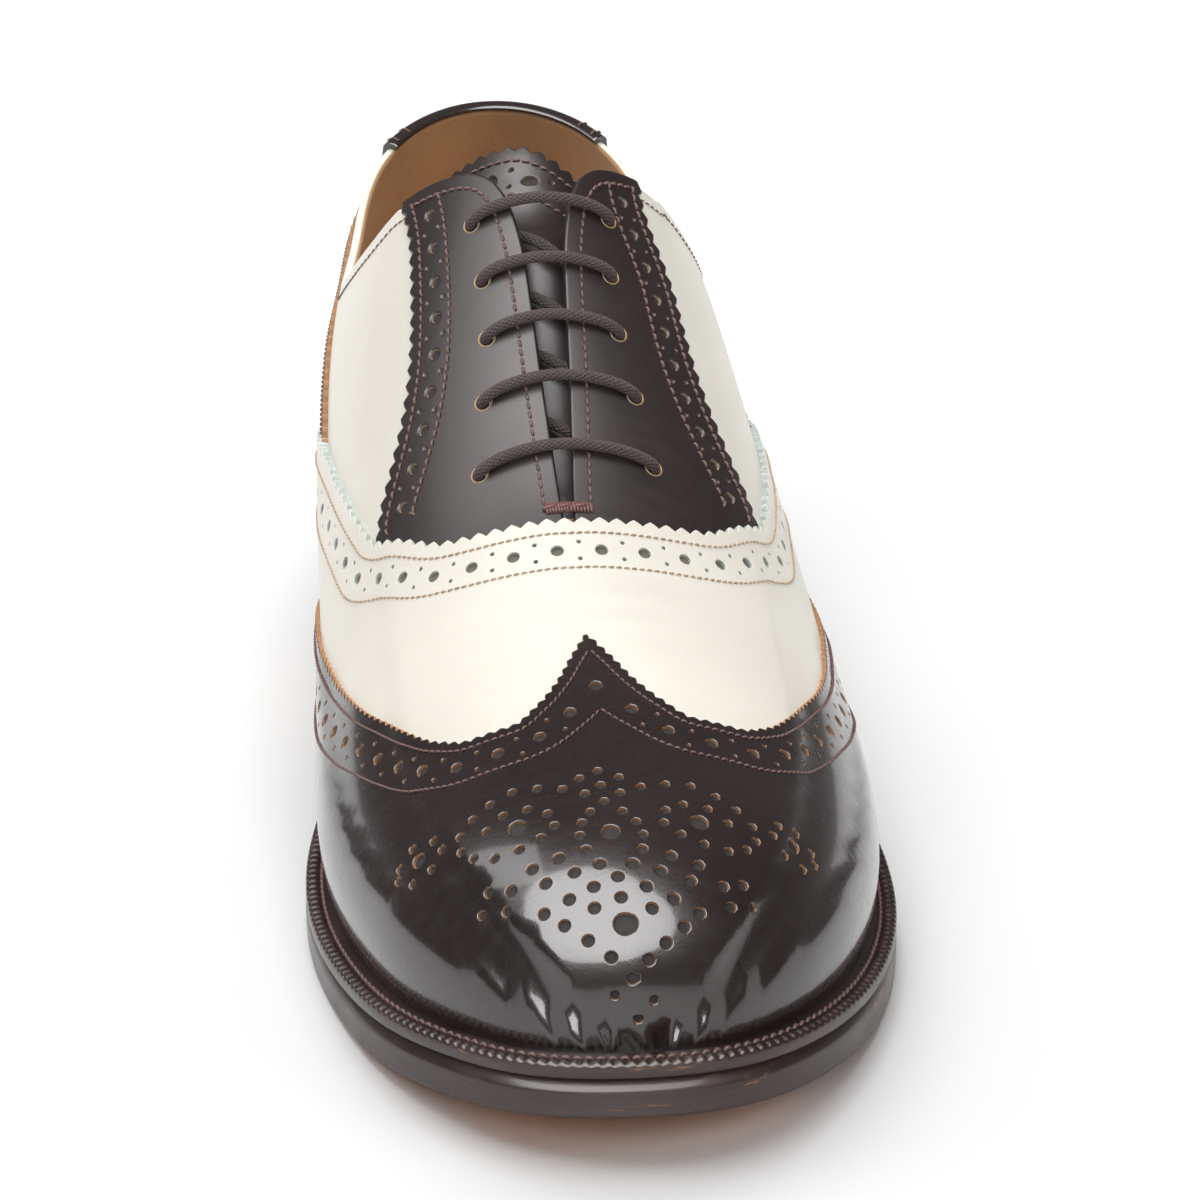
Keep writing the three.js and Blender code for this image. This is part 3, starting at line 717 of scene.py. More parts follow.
def tube(points, radius, sides):
    """The rings of a round cord along points, and how far along it each one is."""
    points = np.asarray(points, float)
    tangent = unit(np.gradient(points, axis=0))
    side = np.cross(tangent[0], (0.0, 0.0, 1.0))
    rows = []
    angles = np.linspace(0, 2 * math.pi, sides, endpoint=False)
    for p, t in zip(points, tangent):
        side = unit(side - t * np.dot(side, t))
        rows.append(p + radius * (np.cos(angles)[:, None] * side + np.sin(angles)[:, None] * np.cross(t, side)))
    return np.array(rows), lengths_along(points)


def cord_piece(name, points, radius, material, replaces=(), sides=16):
    """A round cord with closed ends and a UV that runs round it, and along it in millimetres."""
    rows, lengths = tube(points, radius, sides)
    count = len(rows)
    faces, uv = [], []
    for i in range(count - 1):
        for j in range(sides):
            here, beside = i * sides + j, i * sides + (j + 1) % sides
            faces.append((here, beside, beside + sides, here + sides))
            uv += [(j / sides, lengths[i]), ((j + 1) / sides, lengths[i]),
                   ((j + 1) / sides, lengths[i + 1]), (j / sides, lengths[i + 1])]
    faces += [tuple(range(sides - 1, -1, -1)), tuple(range((count - 1) * sides, count * sides))]
    uv += [(0, 0)] * (2 * sides)
    mesh = simple_mesh(name, rows, faces, material)
    mesh.uv_layers.new(name="lay").data.foreach_set("uv", np.array(uv, float).ravel())
    return dress(mesh, name, replaces)


# Materials

class Socket:
    """A node's output that can be used in sums."""

    def __init__(self, tree, output):
        self.tree, self.output = tree, output

    def math(self, operation, *others):
        node = self.tree.nodes.new("ShaderNodeMath")
        node.operation = operation
        for i, value in enumerate((self, *others)):
            link(self.tree, value, node.inputs[i])
        return Socket(self.tree, node.outputs[0])

    def __add__(self, other):
        return self.math("ADD", other)

    __radd__ = __add__

    def __mul__(self, other):
        return self.math("MULTIPLY", other)

    __rmul__ = __mul__

    def __sub__(self, other):
        return self.math("SUBTRACT", other)

    def __rsub__(self, other):
        return (self * -1) + other


def link(tree, value, target):
    if isinstance(value, Socket):
        tree.links.new(value.output, target)
    else:
        target.default_value = value


class Finish:
    """One procedural material, built from nodes by name."""

    def __init__(self, name, **constants):
        self.material = bpy.data.materials.new(name)
        self.material.use_nodes = True
        self.tree = self.material.node_tree
        self.shader = self.tree.nodes["Principled BSDF"]
        for socket, value in constants.items():
            self.shader.inputs[socket.replace("_", " ")].default_value = value
        place = self.tree.nodes.new("ShaderNodeTexCoord")
        self.object = Socket(self.tree, place.outputs["Object"])
        self.uv = Socket(self.tree, place.outputs["UV"])

    def node(self, kind, settings=None, output=0, **inputs):
        node = self.tree.nodes.new("ShaderNode" + kind)
        for key, value in (settings or {}).items():
            setattr(node, key, value)
        for key, value in inputs.items():
            link(self.tree, value, node.inputs[key.replace("_", " ")])
        return Socket(self.tree, node.outputs[output])

    def noise(self, scale, detail=2.0, rough=0.5, where=None):
        return self.node("TexNoise", None, 0, Vector=where or self.object, Scale=scale, Detail=detail,
                         Roughness=rough)

    def cells(self, scale, feature="F1", where=None):
        return self.node("TexVoronoi", {"feature": feature}, 0, Vector=where or self.object, Scale=scale)

    def stretched(self, scale, where=None):
        return self.node("Mapping", None, 0, Vector=where or self.object, Scale=scale)

    def split(self, vector, axis):
        node = self.tree.nodes.new("ShaderNodeSeparateXYZ")
        link(self.tree, vector, node.inputs[0])
        return Socket(self.tree, node.outputs[axis])

    def ramp(self, value, low, high):
        return self.node("MapRange", {"clamp": True}, 0, Value=value, From_Min=low, From_Max=high)

    def blend(self, share, first, second):
        node = self.tree.nodes.new("ShaderNodeMix")
        node.data_type = "RGBA"
        link(self.tree, share, node.inputs[0])
        link(self.tree, first, node.inputs[6])
        link(self.tree, second, node.inputs[7])
        return Socket(self.tree, node.outputs[2])

    def done(self, colour=None, roughness=None, relief=None, depth=0.1, coat=None):
        inputs = self.shader.inputs
        if colour is not None:
            link(self.tree, colour, inputs["Base Color"])
        if roughness is not None:
            link(self.tree, roughness, inputs["Roughness"])
        if coat is not None:
            link(self.tree, coat, inputs["Coat Weight"])
        if relief is not None:
            bump = self.node("Bump", None, 0, Height=relief, Distance=depth * MM, Strength=1.0)
            link(self.tree, bump, inputs["Normal"])
        return self.material


def tint(colour, amount):
    """The colour made lighter or darker."""
    return tuple(min(1.0, c * amount) for c in colour[:3]) + (1.0,)


def calf(name, colour, gloss, coat, mottle, wear, haze=0.09):
    """Smooth lasted calf: fine grain, faint streaks, and a polish that changes over the skin."""
    f = Finish(name, Coat_Roughness=haze, IOR=1.5, Coat_IOR=1.5)
    grain = f.cells(2600.0, "SMOOTH_F1")
    pores = f.noise(5200.0, 2.0)
    hide = f.noise(26.0, 4.0, 0.55)
    streaks = f.noise(1.0, 5.0, 0.6, f.stretched((120.0, 420.0, 160.0)))
    cloud = f.noise(9.0, 3.0)
    shade = f.ramp(hide, 0.3, 0.7)
    colours = f.blend(shade, tint(colour, 1 - mottle), tint(colour, 1 + mottle))
    worn = f.ramp(cloud, 0.62, 0.8) * f.ramp(streaks, 0.5, 0.75) * wear
    colours = f.blend(worn, colours, tint(colour, 1.9))
    rough = f.ramp(cloud, 0.25, 0.75) * 0.1 + f.ramp(streaks, 0.4, 0.7) * 0.06 + gloss
    relief = grain * -0.55 + pores * 0.35 + f.ramp(streaks, 0.35, 0.65) * 0.25
    return f.done(colours, rough, relief, 0.035, f.ramp(hide, 0.2, 0.8) * (coat * 0.3) + coat * 0.8)


def raw_edge(name, colour):
    """A cut leather edge: dull fibres in layers."""
    f = Finish(name, Roughness=0.85)
    fibre = f.noise(1400.0, 4.0, 0.7)
    layer = f.noise(1.0, 3.0, 0.6, f.stretched((400.0, 400.0, 2600.0)))
    share = f.ramp(fibre * 0.6 + layer * 0.4, 0.3, 0.7)
    return f.done(f.blend(share, tint(colour, 0.62), tint(colour, 1.3)), None, fibre, 0.15)


def suede(name, colour):
    f = Finish(name, Roughness=0.9, Sheen_Weight=0.25)
    nap = f.noise(1800.0, 5.0, 0.75)
    cloud = f.noise(22.0, 4.0, 0.6)
    share = f.ramp(cloud * 0.7 + nap * 0.3, 0.35, 0.66)
    return f.done(f.blend(share, tint(colour, 0.78), tint(colour, 1.12)), None, nap, 0.12)


def thread(name, colour):
    f = Finish(name, Roughness=0.62)
    ply = f.noise(2400.0, 3.0, 0.6)
    return f.done(f.blend(f.ramp(ply, 0.35, 0.65), tint(colour, 0.6), tint(colour, 1.35)), None, ply, 0.08)


def braided(name, colour):
    """A round waxed braid: two sets of strands that cross on its UV."""
    f = Finish(name, Roughness=0.72, Sheen_Weight=0.12)
    strands, lay = 2 * math.pi * 8, 5.2
    round_, along = f.split(f.uv, 0), f.split(f.uv, 1)
    one = (round_ * strands + along * lay).math("SINE")
    other = (round_ * strands - along * lay).math("SINE")
    weave = one.math("MAXIMUM", other)
    fuzz = f.noise(2600.0, 4.0, 0.7)
    share = f.ramp(weave * 0.5 + fuzz, 0.35, 1.1)
    return f.done(f.blend(share, tint(colour, 0.45), tint(colour, 1.5)), f.ramp(fuzz, 0.2, 0.8) * 0.2 + 0.6,
                  weave * 0.6 + fuzz * 0.7, 0.22)


def burnished(name, colour, pale, gloss, strands, pale_below=None):
    """Burnished sole leather: fine layers along its edge and a polish worn through low down."""
    f = Finish(name, Coat_Roughness=0.12)
    layers = f.noise(1.0, 5.0, 0.65, f.stretched((14.0, 14.0, strands)))
    patches = f.noise(60.0, 4.0, 0.6)
    scuffs = f.noise(1.0, 4.0, 0.7, f.stretched((90.0, 90.0, 900.0)))
    share = f.ramp(layers * 0.7 + patches * 0.3, 0.36, 0.64)
    colours = f.blend(share, tint(colour, 0.55), tint(colour, 1.5))
    worn = f.ramp(scuffs, 0.6, 0.72) * f.ramp(patches, 0.5, 0.62)
    if pale_below is not None:
        height = f.split(f.object, 2) + (patches - 0.5) * 0.004
        low = f.ramp(height, pale_below * MM, (pale_below - 1.2) * MM)
        worn = worn.math("MAXIMUM", low)
    colours = f.blend(worn * 0.85, colours, pale)
    return f.done(colours, f.ramp(patches, 0.3, 0.7) * 0.18 + gloss, layers * 0.5 + scuffs * 0.6, 0.09,
                  (1 - worn) * 0.3)


def plain(name, colour, roughness, metal=0.0):
    f = Finish(name, Metallic=metal)
    fine = f.noise(900.0, 3.0)
    return f.done(f.blend(f.ramp(fine, 0.3, 0.7), tint(colour, 0.85), tint(colour, 1.1)),
                  f.ramp(fine, 0.3, 0.7) * 0.1 + roughness, fine, 0.05)


# Sizes and colours that a user can change

def length(name, about, value):
    return bpy.props.FloatProperty(name=name, description=about, default=value * MM, unit="LENGTH", min=0.0)


def shade(name, about, value):
    return bpy.props.FloatVectorProperty(name=name, description=about, default=value, size=3, subtype="COLOR",
                                         min=0.0, max=1.0)


class ShoeSizes(bpy.types.PropertyGroup):
    big_punch: length("Big punch", "Diameter of the big holes in a band", 2.7)
    small_punch: length("Small punch", "Diameter of the small holes in a band", 1.1)
    punch_pitch: length("Punch pitch", "From one big hole to the next", 8.2)
    vamp_tooth: length("Vamp tooth", "Length of one pinked tooth on the vamp and tongue", 3.4)
    cap_tooth: length("Cap tooth", "Length of one pinked tooth on the wing cap", 2.4)
    facing_tooth: length("Facing tooth", "Length of one pinked tooth on the facings and counter", 3.6)
    fine_stitch: length("Fine stitch", "Length of a stitch on the vamp and the wing cap", 1.5)
    coarse_stitch: length("Coarse stitch", "Length of a stitch on the facings", 2.0)
    welt_stitch: length("Welt stitch", "Length of a stitch on the welt", 2.1)
    lace: length("Lace", "Diameter of the lace", 2.25)


class ShoeColours(bpy.types.PropertyGroup):
    dark_calf: shade("Dark calf", "Wing cap, facings, counter and tongue", (0.022, 0.0122, 0.0115))
    cream_calf: shade("Cream calf", "Vamp and quarters", (0.83, 0.79, 0.70))
    dark_core: shade("Dark calf's core", "Cut edges of the dark calf", (0.42, 0.21, 0.09))
    # The dark calf's tan cut edge again, made paler as a painted highlight on the walls of the facings' and tongue's
    # holes
    pale_core: shade("Facing's core", "Walls of the holes in the facings and tongue", (0.42, 0.29, 0.17))
    cream_core: shade("Cream calf's core", "Cut edges of the cream calf", (0.52, 0.58, 0.55))
    lining: shade("Lining", "Lining and sock", (0.56, 0.31, 0.12))
    dark_thread: shade("Dark thread", "Thread on the dark calf", (0.15, 0.075, 0.062))
    cream_thread: shade("Cream thread", "Thread on the cream calf", (0.50, 0.36, 0.24))
    lace: shade("Lace", "Waxed cotton lace", (0.05, 0.026, 0.024))
    sole_edge: shade("Sole edge", "Burnished sole, welt and heel", (0.032, 0.0135, 0.0105))
    sole_leather: shade("Sole leather", "Bare sole leather at worn edges", (0.42, 0.17, 0.06))
    tread: shade("Tread", "Bare sole leather under the shoe", (0.378, 0.153, 0.054))


def sizes():
    return bpy.context.scene.shoe_sizes


def mm(value):
    return value / MM


# Each finish: how it's made, its material's name, its colour or the user's colour, and the maker's own values
RECIPES = {
    "dark": (calf, "dark_calf", "dark_calf", 0.2, 0.9, 0.22, 0.25),
    "facing": (calf, "facing_calf", "dark_calf", 0.36, 0.3, 0.22, 0.25, 0.3),
    "cream": (calf, "cream_calf", "cream_calf", 0.4, 0.2, 0.035, 0.0),
    "dark_core": (raw_edge, "dark_core", "dark_core"),
    # pale_core: the dark calf's cut edge, lightened as a painted highlight on the hole walls
    "cream_core": (raw_edge, "cream_core", "cream_core"),
    "pale_core": (raw_edge, "pale_core", "pale_core"),
    "dark_floor": (plain, "dark_floor", (0.012, 0.008, 0.007, 1), 0.8),
    "cream_floor": (plain, "cream_floor", (0.17, 0.15, 0.105, 1), 0.85),
    "lining": (suede, "lining", "lining"),
    "dark_thread": (thread, "dark_thread", "dark_thread"),
    "cream_thread": (thread, "cream_thread", "cream_thread"),
    "tack": (thread, "tack_thread", (0.16, 0.055, 0.05, 1)),
    "lace": (braided, "lace_braid", "lace"),
    "sole": (burnished, "sole_edge", "sole_edge", "sole_leather", 0.3, 900.0),
    "tread": (burnished, "tread_leather", "tread", "sole_edge", 0.5, 30.0),
    "heel": (burnished, "heel_stack", "sole_edge", "sole_leather", 0.25, 700.0, 1.0),
    "rubber": (plain, "heel_rubber", (0.012, 0.01, 0.009, 1), 0.7),
    "rim": (plain, "eyelet_rim", (0.52, 0.33, 0.14, 1), 0.5),
    "brass": (plain, "brass_pin", (0.55, 0.36, 0.13, 1), 0.3, 1.0),
}
FINISHES = {}


def finish(name):
    """The shoe's materials, each made once."""
    if name not in FINISHES:
        colours = bpy.context.scene.shoe_colours
        make, material, *values = RECIPES[name]
        values = [(*getattr(colours, value), 1) if isinstance(value, str) else value for value in values]
        FINISHES[name] = make(material, *values)
    return FINISHES[name]


# Where the leather ends

def collar_side(turn):
    """The side share at which the collar or the throat cuts each turn."""
    turn = np.asarray(turn, float)
    station = np.abs(np.mod(turn + HEEL_BACK, LOOP) - HEEL_BACK)
    high = np.where(station < 9.4, facing_inner(station), 0.05)
    low = np.ones_like(high)

    def cut(side):
        point = last_point(turn, 1 - side)
        return point[..., 2] > topline(HEEL_CENTRE - point[..., 1])
    above = cut(high)
    first = high.copy()
    for _ in range(30):
        middle = (high + low) / 2
        over = cut(middle)
        high, low = np.where(over, middle, high), np.where(over, low, middle)
    return np.where(above, high, first)


# The flex creases: station on the middle line, sweep towards the heel at the sides, lean,
# reach to either side, breadth, all in the last's places, and depth in mm.
CREASES = (
    (5.4, 0.5, 0.3, 0.44, 0.085, 0.13),
    (5.68, 0.7, -0.22, 0.5, 0.1, 0.17),
    (5.97, 0.4, 0.16, 0.42, 0.085, 0.12),
)


def creased(q):
    """Soft troughs with a low ridge on either side, in mm above and below the smooth leather."""
    station, side = q[..., 0], q[..., 1]
    rise = np.zeros(np.shape(station))
    for place, sweep, lean, reach, breadth, depth in CREASES:
        away = (station - place - lean * side - sweep * side ** 2) / breadth
        rise = rise + depth * (1 - smooth(np.abs(side) / reach)) * (away ** 2 - 1) * np.exp(-away ** 2 / 2)
    return rise


def vamp_top(q):
    side = np.abs(q[..., 1])
    sunk = 0.85 * (smooth((side - 0.43) / 0.08) - smooth((side - 0.66) / 0.08))
    return VAMP_TOP - sunk + creased(q)


def cap_top(q):
    return vamp_top(q) + CAP_TOP


# Where the panels end: FOOT is the side share just under the feather line, and the stations are those of
# the facings' ends under the vamp, of their top corners and of the counter's front
FOOT = 1.01
THROAT_FOOT, FACING_FOOT, FACING_TUCK = 6.07, 6.98, 0.24
FACING_CORNER = (8.5, 9.4)
COUNTER_FRONT = 8.6
TOOTH_DEPTH = 1.3
PEAK_HOLE = (4.68, 0.0)
# Beside each panel's edge, in mm: the middle of its punched band, the small holes' distance from that
# middle, and its rows of stitches
BANDS = {
    "wing_cap": (6.4, 2.3, (2.1, 10.8)),
    "vamp": (7.2, 2.0, (3.0, 11.6)),
    "facing": (6.0, 1.9, (2.4, 9.4)),
    "tongue": (6.4, 1.9, (2.6, 10.2)),
    "counter": (6.4, 2.1, (2.4, 10.4)),
}
# How near a row of stitches, and a row of holes, comes to the edge at its ends
STITCH_MARGIN, HOLE_MARGIN = 1.7, 3.0


def signed_line(edge, reach, count=900):
    """An edge curve as places, from the inner foot over the ridge to the outer one."""
    side = np.linspace(-reach, reach, count)
    return np.stack((edge(np.abs(side)), side), -1)


def foot_line(first, last, side, count=160):
    """Places along a panel's foot."""
    return np.stack((np.linspace(first, last, count), np.full(count, side)), -1)


def halves(line):
    """The line's inner and outer halves, each kept on its own side of the ridge."""
    return line[line[:, 1] < 0], line[line[:, 1] > 0]


def rows_beside(surface, line, distance, level):
    """A line beside an edge whose two halves meet in a point on the ridge."""
    found = []
    for side, half in zip((-1, 1), halves(line)):
        moved = without_folds(surface, half, shifted(surface, half, distance, level), level)
        found.append(moved[moved[:, 1] * side > 0])
    return found


def clear_of(surface, row, outline, margin):
    """The longest stretch of a row that lies on a panel and keeps its distance from the panel's edge."""
    inside = crossings(surface.flat(outline), surface.flat(row))
    places, border = surface.at(row), surface.at(outline)
    away = np.array([np.linalg.norm(border - p, axis=1).min() for p in places])
    keep = inside & (away > margin)
    best, start = (0, 0), None
    for i, good in enumerate(np.append(keep, False)):
        if good and start is None:
            start = i
        if not good and start is not None:
            best = max(best, (i - start, -start))
            start = None
    return row[-best[1]:best[0] - best[1]]


def wing_cap():
    s = sizes()
    middle, spread, distances = BANDS["wing_cap"]
    edge = signed_line(wing_edge, FOOT)
    cut = pinked(FRONT, edge, mm(s.cap_tooth), 0.75, cap_top)
    outline = np.concatenate((cut, foot_line(cut[-1, 0], 0.0, FOOT)[1:], foot_line(0.0, cut[0, 0], -FOOT)[1:-1]))
    peak = np.array(PEAK_HOLE)
    holes = [(peak, mm(s.big_punch))]
    for half in rows_beside(FRONT, edge, -middle, cap_top):
        away = np.linalg.norm(FRONT.at(half) - FRONT.at(peak), axis=1)
        half = half[away > mm(s.punch_pitch) * 0.55]
        holes += band(FRONT, half, mm(s.punch_pitch), cap_top, mm(s.big_punch), mm(s.small_punch), spread)
    rows = [row for distance in distances for row in rows_beside(FRONT, edge, -distance, cap_top)]
    for station, side, diameter in ORNAMENT:
        for way in ((0,) if side == 0 else (-1, 1)):
            q = np.array((station - ORNAMENT_SKEW * side * way, ORNAMENT_AXIS + side * way))
            holes.append((q, diameter))
    panel("wing_cap_leather", FRONT, outline, holes, cap_top, lambda q: cap_top(q) - CAP, 0.22, 3.0,
          (finish("dark"), finish("dark_core"), finish("dark_floor")), "dark_leather", ("wing_cap",))
    stitches("wing_cap_stitching", [run(FRONT, row, mm(s.fine_stitch), cap_top) for row in rows], 0.24,
             finish("dark_thread"))


def vamp():
    s = sizes()
    middle, spread, distances = BANDS["vamp"]
    edge = signed_line(vamp_edge, FOOT)
    cut = pinked(FRONT, edge, mm(s.vamp_tooth), TOOTH_DEPTH, vamp_top)
    under = signed_line(lambda side: wing_edge(side) - 0.35, FOOT)[::-1]
    outline = np.concatenate((cut, foot_line(cut[-1, 0], under[0, 0], FOOT)[1:-1], under[::6],
                              foot_line(under[-1, 0], cut[0, 0], -FOOT)[1:-1]))

    def row(distance):
        return without_folds(FRONT, edge, shifted(FRONT, edge, -distance, vamp_top), vamp_top)
    holes = band(FRONT, row(middle), mm(s.punch_pitch), vamp_top, mm(s.big_punch), mm(s.small_punch), spread)
    panel("vamp_leather", FRONT, outline, holes, vamp_top, 0.0, 0.25, 1.5,
          (finish("cream"), finish("cream_core"), finish("cream_floor")), "cream_leather", ("vamp",))
    stitches("vamp_stitching", [run(FRONT, row(d), mm(s.fine_stitch), vamp_top) for d in distances], 0.2,
             finish("cream_thread"))


def outer_edge(station, side):
    """The facing's outer edge, which turns in at the top of the outer side."""
    return facing_outer(station) - (0.055 * smooth((np.asarray(station) - 8.3) / 0.8) if side > 0 else 0)


def facing(side, name):
    """One facing: side is 1 on the outer half of the shoe and -1 on the inner half."""
    s = sizes()
    middle, spread, distances = BANDS["facing"]
    stations = np.linspace(*FACING_CORNER, 400)
    corner = stations[np.argmax(facing_inner(stations) > outer_edge(stations, side) - 0.006)]
    stations = np.linspace(THROAT_FOOT, corner, 160)
    inner = np.stack((stations, side * facing_inner(stations)), -1)
    stations = np.linspace(FACING_FOOT, corner, 120)
    outer = np.stack((stations, side * outer_edge(stations, side)), -1)
    across = np.linspace(0.47, 0.02, 30)[1:-1]
    tucked = np.stack((vamp_edge(across) - FACING_TUCK, side * across), -1)
    cut = pinked(FRONT, outer[::-side], mm(s.facing_tooth), TOOTH_DEPTH, DARK_TOP)[::-side]
    outline = np.concatenate((inner, cut[::-1], tucked))

    def row(distance, margin=STITCH_MARGIN):
        return clear_of(FRONT, shifted(FRONT, outer, side * distance, DARK_TOP), outline, margin)
    holes = band(FRONT, row(middle, HOLE_MARGIN), 7.3, DARK_TOP, mm(s.big_punch), mm(s.small_punch), spread)
    rim = resample(FRONT, inner[inner[:, 0] > 6.45], 1.2, DARK_TOP)
    along = clear_of(FRONT, without_folds(FRONT, rim, shifted(FRONT, rim, -side * 2.7, DARK_TOP), DARK_TOP),
                     outline, 1.9)
    through = [(np.array((station, side * share)), EYELET) for station, share in EYELETS]
    # The hole walls get the tan cut edge lightened as a painted highlight
    panel(name + "_leather", FRONT, outline, holes, DARK_TOP, -0.1, 0.55, 2.4,
          (finish("facing"), finish("pale_core"), finish("dark_floor")), "dark_leather", (name,), through, wall=0)
    rows = [row(d) for d in distances] + [along]
    stitches(name + "_stitching", [run(FRONT, line, mm(s.coarse_stitch), DARK_TOP) for line in rows], 0.32,
             finish("dark_thread"))


def soft_front(q):
    """The front surface with the crease on its ridge rounded off, more so above the facings."""
    reach = 0.1 + 0.14 * smooth((q[..., 0] - 8.3) / 0.9)
    side = q[..., 1]
    off = np.sqrt(side ** 2 + reach ** 2)
    share = (1 + side / off) / 2
    outer = last_point(q[..., 0], 1 - off)
    inner = last_point(-q[..., 0], 1 - off)
    point = last_point(*front_turn(q))
    point[..., 1:] = (inner * (1 - share[..., None]) + outer * share[..., None])[..., 1:]
    return point


def soft_normal(q):
    tiny = 0.01
    ahead = soft_front(q + (tiny, 0)) - soft_front(q - (tiny, 0))
    across = soft_front(q + (0, tiny)) - soft_front(q - (0, tiny))
    return unit(np.cross(across, ahead))


SOFT_FRONT = Surface(soft_front, soft_normal, front_flat, front_unflat)


def tongue_level(q):
    """Under the lace's hidden run, then up to the facings and free of them at the top."""
    under, free = -(WALL + LACE_CLEAR + LACE_CAD + 2 * GAP), -(WALL + 2 * GAP)
    lift = 2.0 * smooth((q[..., 0] - 8.9) / 0.5) * (1 - smooth(np.abs(q[..., 1]) / 0.3))
    return under + (free - under) * smooth((q[..., 0] - 8.75) / 0.4) + lift


def tongue():
    s = sizes()
    middle, spread, distances = BANDS["tongue"]
    across = np.linspace(TONGUE_TOP[0][0], TONGUE_TOP[-1][0], 240)
    top = np.stack((row_curve(TONGUE_TOP)(across), across), -1)
    cut = pinked(SOFT_FRONT, top, mm(s.vamp_tooth), TOOTH_DEPTH, tongue_level)
    shares = np.linspace(0, 1, 60)[1:]
    sides = [np.stack((end[0] + (TONGUE_START - end[0]) * shares,
                       end[1] + (math.copysign(TONGUE_FOOT, end[1]) - end[1]) * smooth(shares * 1.3)), -1)
             for end in (cut[-1], cut[0])]
    outline = np.concatenate((cut, sides[0], sides[1][::-1]))

    def row(distance, margin=STITCH_MARGIN):
        return clear_of(SOFT_FRONT, shifted(SOFT_FRONT, top, -distance, tongue_level), outline, margin)
    holes = band(SOFT_FRONT, row(middle, HOLE_MARGIN), 8.0, tongue_level, mm(s.big_punch), mm(s.small_punch), spread)
    # The hole walls get the tan cut edge lightened as a painted highlight
    panel("tongue_leather", SOFT_FRONT, outline, holes, tongue_level, lambda q: tongue_level(q) - TONGUE, 0.3, 3.0,
          (finish("facing"), finish("pale_core"), finish("dark_floor")), "dark_leather", ("tongue",), wall=0)
    stitches("tongue_stitching", [run(SOFT_FRONT, row(d), mm(s.coarse_stitch), tongue_level) for d in distances],
             0.3, finish("dark_thread"))


# The heel strap: the turn where it starts on the outer side, and the height of its foot on the heel
STRAP = 12.95
STRAP_FOOT = 0.31


def counter():
    s = sizes()
    middle, spread, distances = BANDS["counter"]
    half = np.linspace(COUNTER_FRONT, HEEL_BACK, 500)
    side = np.stack((half, 1 - counter_edge(half)), -1)
    line = np.concatenate((side, (side * (-1, 1) + (LOOP, 0))[::-1][1:]))
    outline = np.concatenate((pinked(BACK, line, mm(s.facing_tooth), TOOTH_DEPTH, DARK_TOP),
                              foot_line(LOOP - COUNTER_FRONT, COUNTER_FRONT, -0.01, 260)))

    def row(distance, margin=STITCH_MARGIN):
        return clear_of(BACK, shifted(BACK, line, -distance, DARK_TOP), outline, margin)
    holes = band(BACK, row(middle, 3.2), mm(s.punch_pitch), DARK_TOP, mm(s.big_punch), mm(s.small_punch), spread)
    panel("counter_leather", BACK, outline, holes, DARK_TOP, -0.1, 0.25, 3.2,
          (finish("dark"), finish("dark_core"), finish("dark_floor")), "dark_leather", ("counter",))
    stitches("counter_stitching", [run(BACK, row(d), mm(s.fine_stitch), DARK_TOP) for d in distances], 0.26,
             finish("dark_thread"))


def heel_strap():
    """The dark strap that comes out of the counter and rolls over the collar at the heel."""
    turns = np.linspace(STRAP, LOOP - STRAP, 91)
    count = len(turns)
    rim = 1 - collar_side(turns)
    edge, normal = last_point(turns, rim), last_normal(turns, rim)
    up = unit(np.cross(normal, unit(np.gradient(edge, axis=0))))
    up *= np.sign(up[:, 2:])
    half = WALL / 2

    def over(radius, angle):
        middle = edge - normal * half + up * 0.2
        return middle + normal * radius * math.cos(angle) + up * radius * 0.85 * math.sin(angle)

    def wall(level, height):
        return last_point(turns, height) + last_normal(turns, height) * level

    def climb(level, share):
        return wall(level, rim + (STRAP_FOOT - rim) * share)
    shares = (1, 0.85, 0.7, 0.55, 0.4, 0.25, 0.12, 0.05)
    rows = [climb(0.05 + STRAP_LEATHER, share) for share in shares]
    rows += [over(half + 0.1 + STRAP_LEATHER, a) for a in np.linspace(0, 2.1, 11)]
    rows += [over(half + 0.9, 2.3), over(half + 0.4, 2.42), over(half - 0.2, 2.3)]
    rows += [over(half - 0.3, a) for a in (1.9, 1.3, 0.7)]
    rows += [climb(-0.3, share) for share in shares[::-1]]
    number = len(rows)
    faces = [(i * count + j, i * count + j + 1, (i + 1) % number * count + j + 1, (i + 1) % number * count + j)
             for i in range(number) for j in range(count - 1)]
    faces += [tuple(i * count for i in range(number)), tuple((number - i) * count - 1 for i in range(number))]
    mesh = simple_mesh("heel_strap", np.array(rows), faces, finish("dark"))
    for end in mesh.polygons[-2:]:
        end.use_smooth = False
    facing_out(mesh)
    dress(mesh, "heel_strap")
    fall = 1e-3 / np.linalg.norm(edge - last_point(turns, rim - 1e-3), axis=-1)
    below = slice(3, -3)
    runs = [seam(wall(0.1 + STRAP_LEATHER, rim - fall * 3.4)[below], normal[below], 2.0)]
    beside = unit(edge[3] - edge[2])
    for k in (3, 9, count - 10, count - 4):
        points = np.array([row[k] for row in rows[1:18]])
        shine = np.cross(unit(np.gradient(points, axis=0)), beside)
        runs.append(seam(points, unit(shine) * np.sign(shine[8, 2]), 1.8))
    stitches("heel_strap_stitching", runs, 0.25, finish("dark_thread"))


def seam(points, normals, pitch):
    """A run of stitches along points that lie on no chart."""
    lengths = lengths_along(points)
    count = max(2, int(lengths[-1] / pitch))
    even = (np.arange(count) + 0.5) * lengths[-1] / count

    def at(values, places):
        return np.stack([np.interp(places, lengths, values[:, i]) for i in range(3)], -1)
    ahead = unit(at(points, even + 0.3) - at(points, even - 0.3))
    return at(points, even), ahead, unit(at(normals, even)), lengths[-1] / count


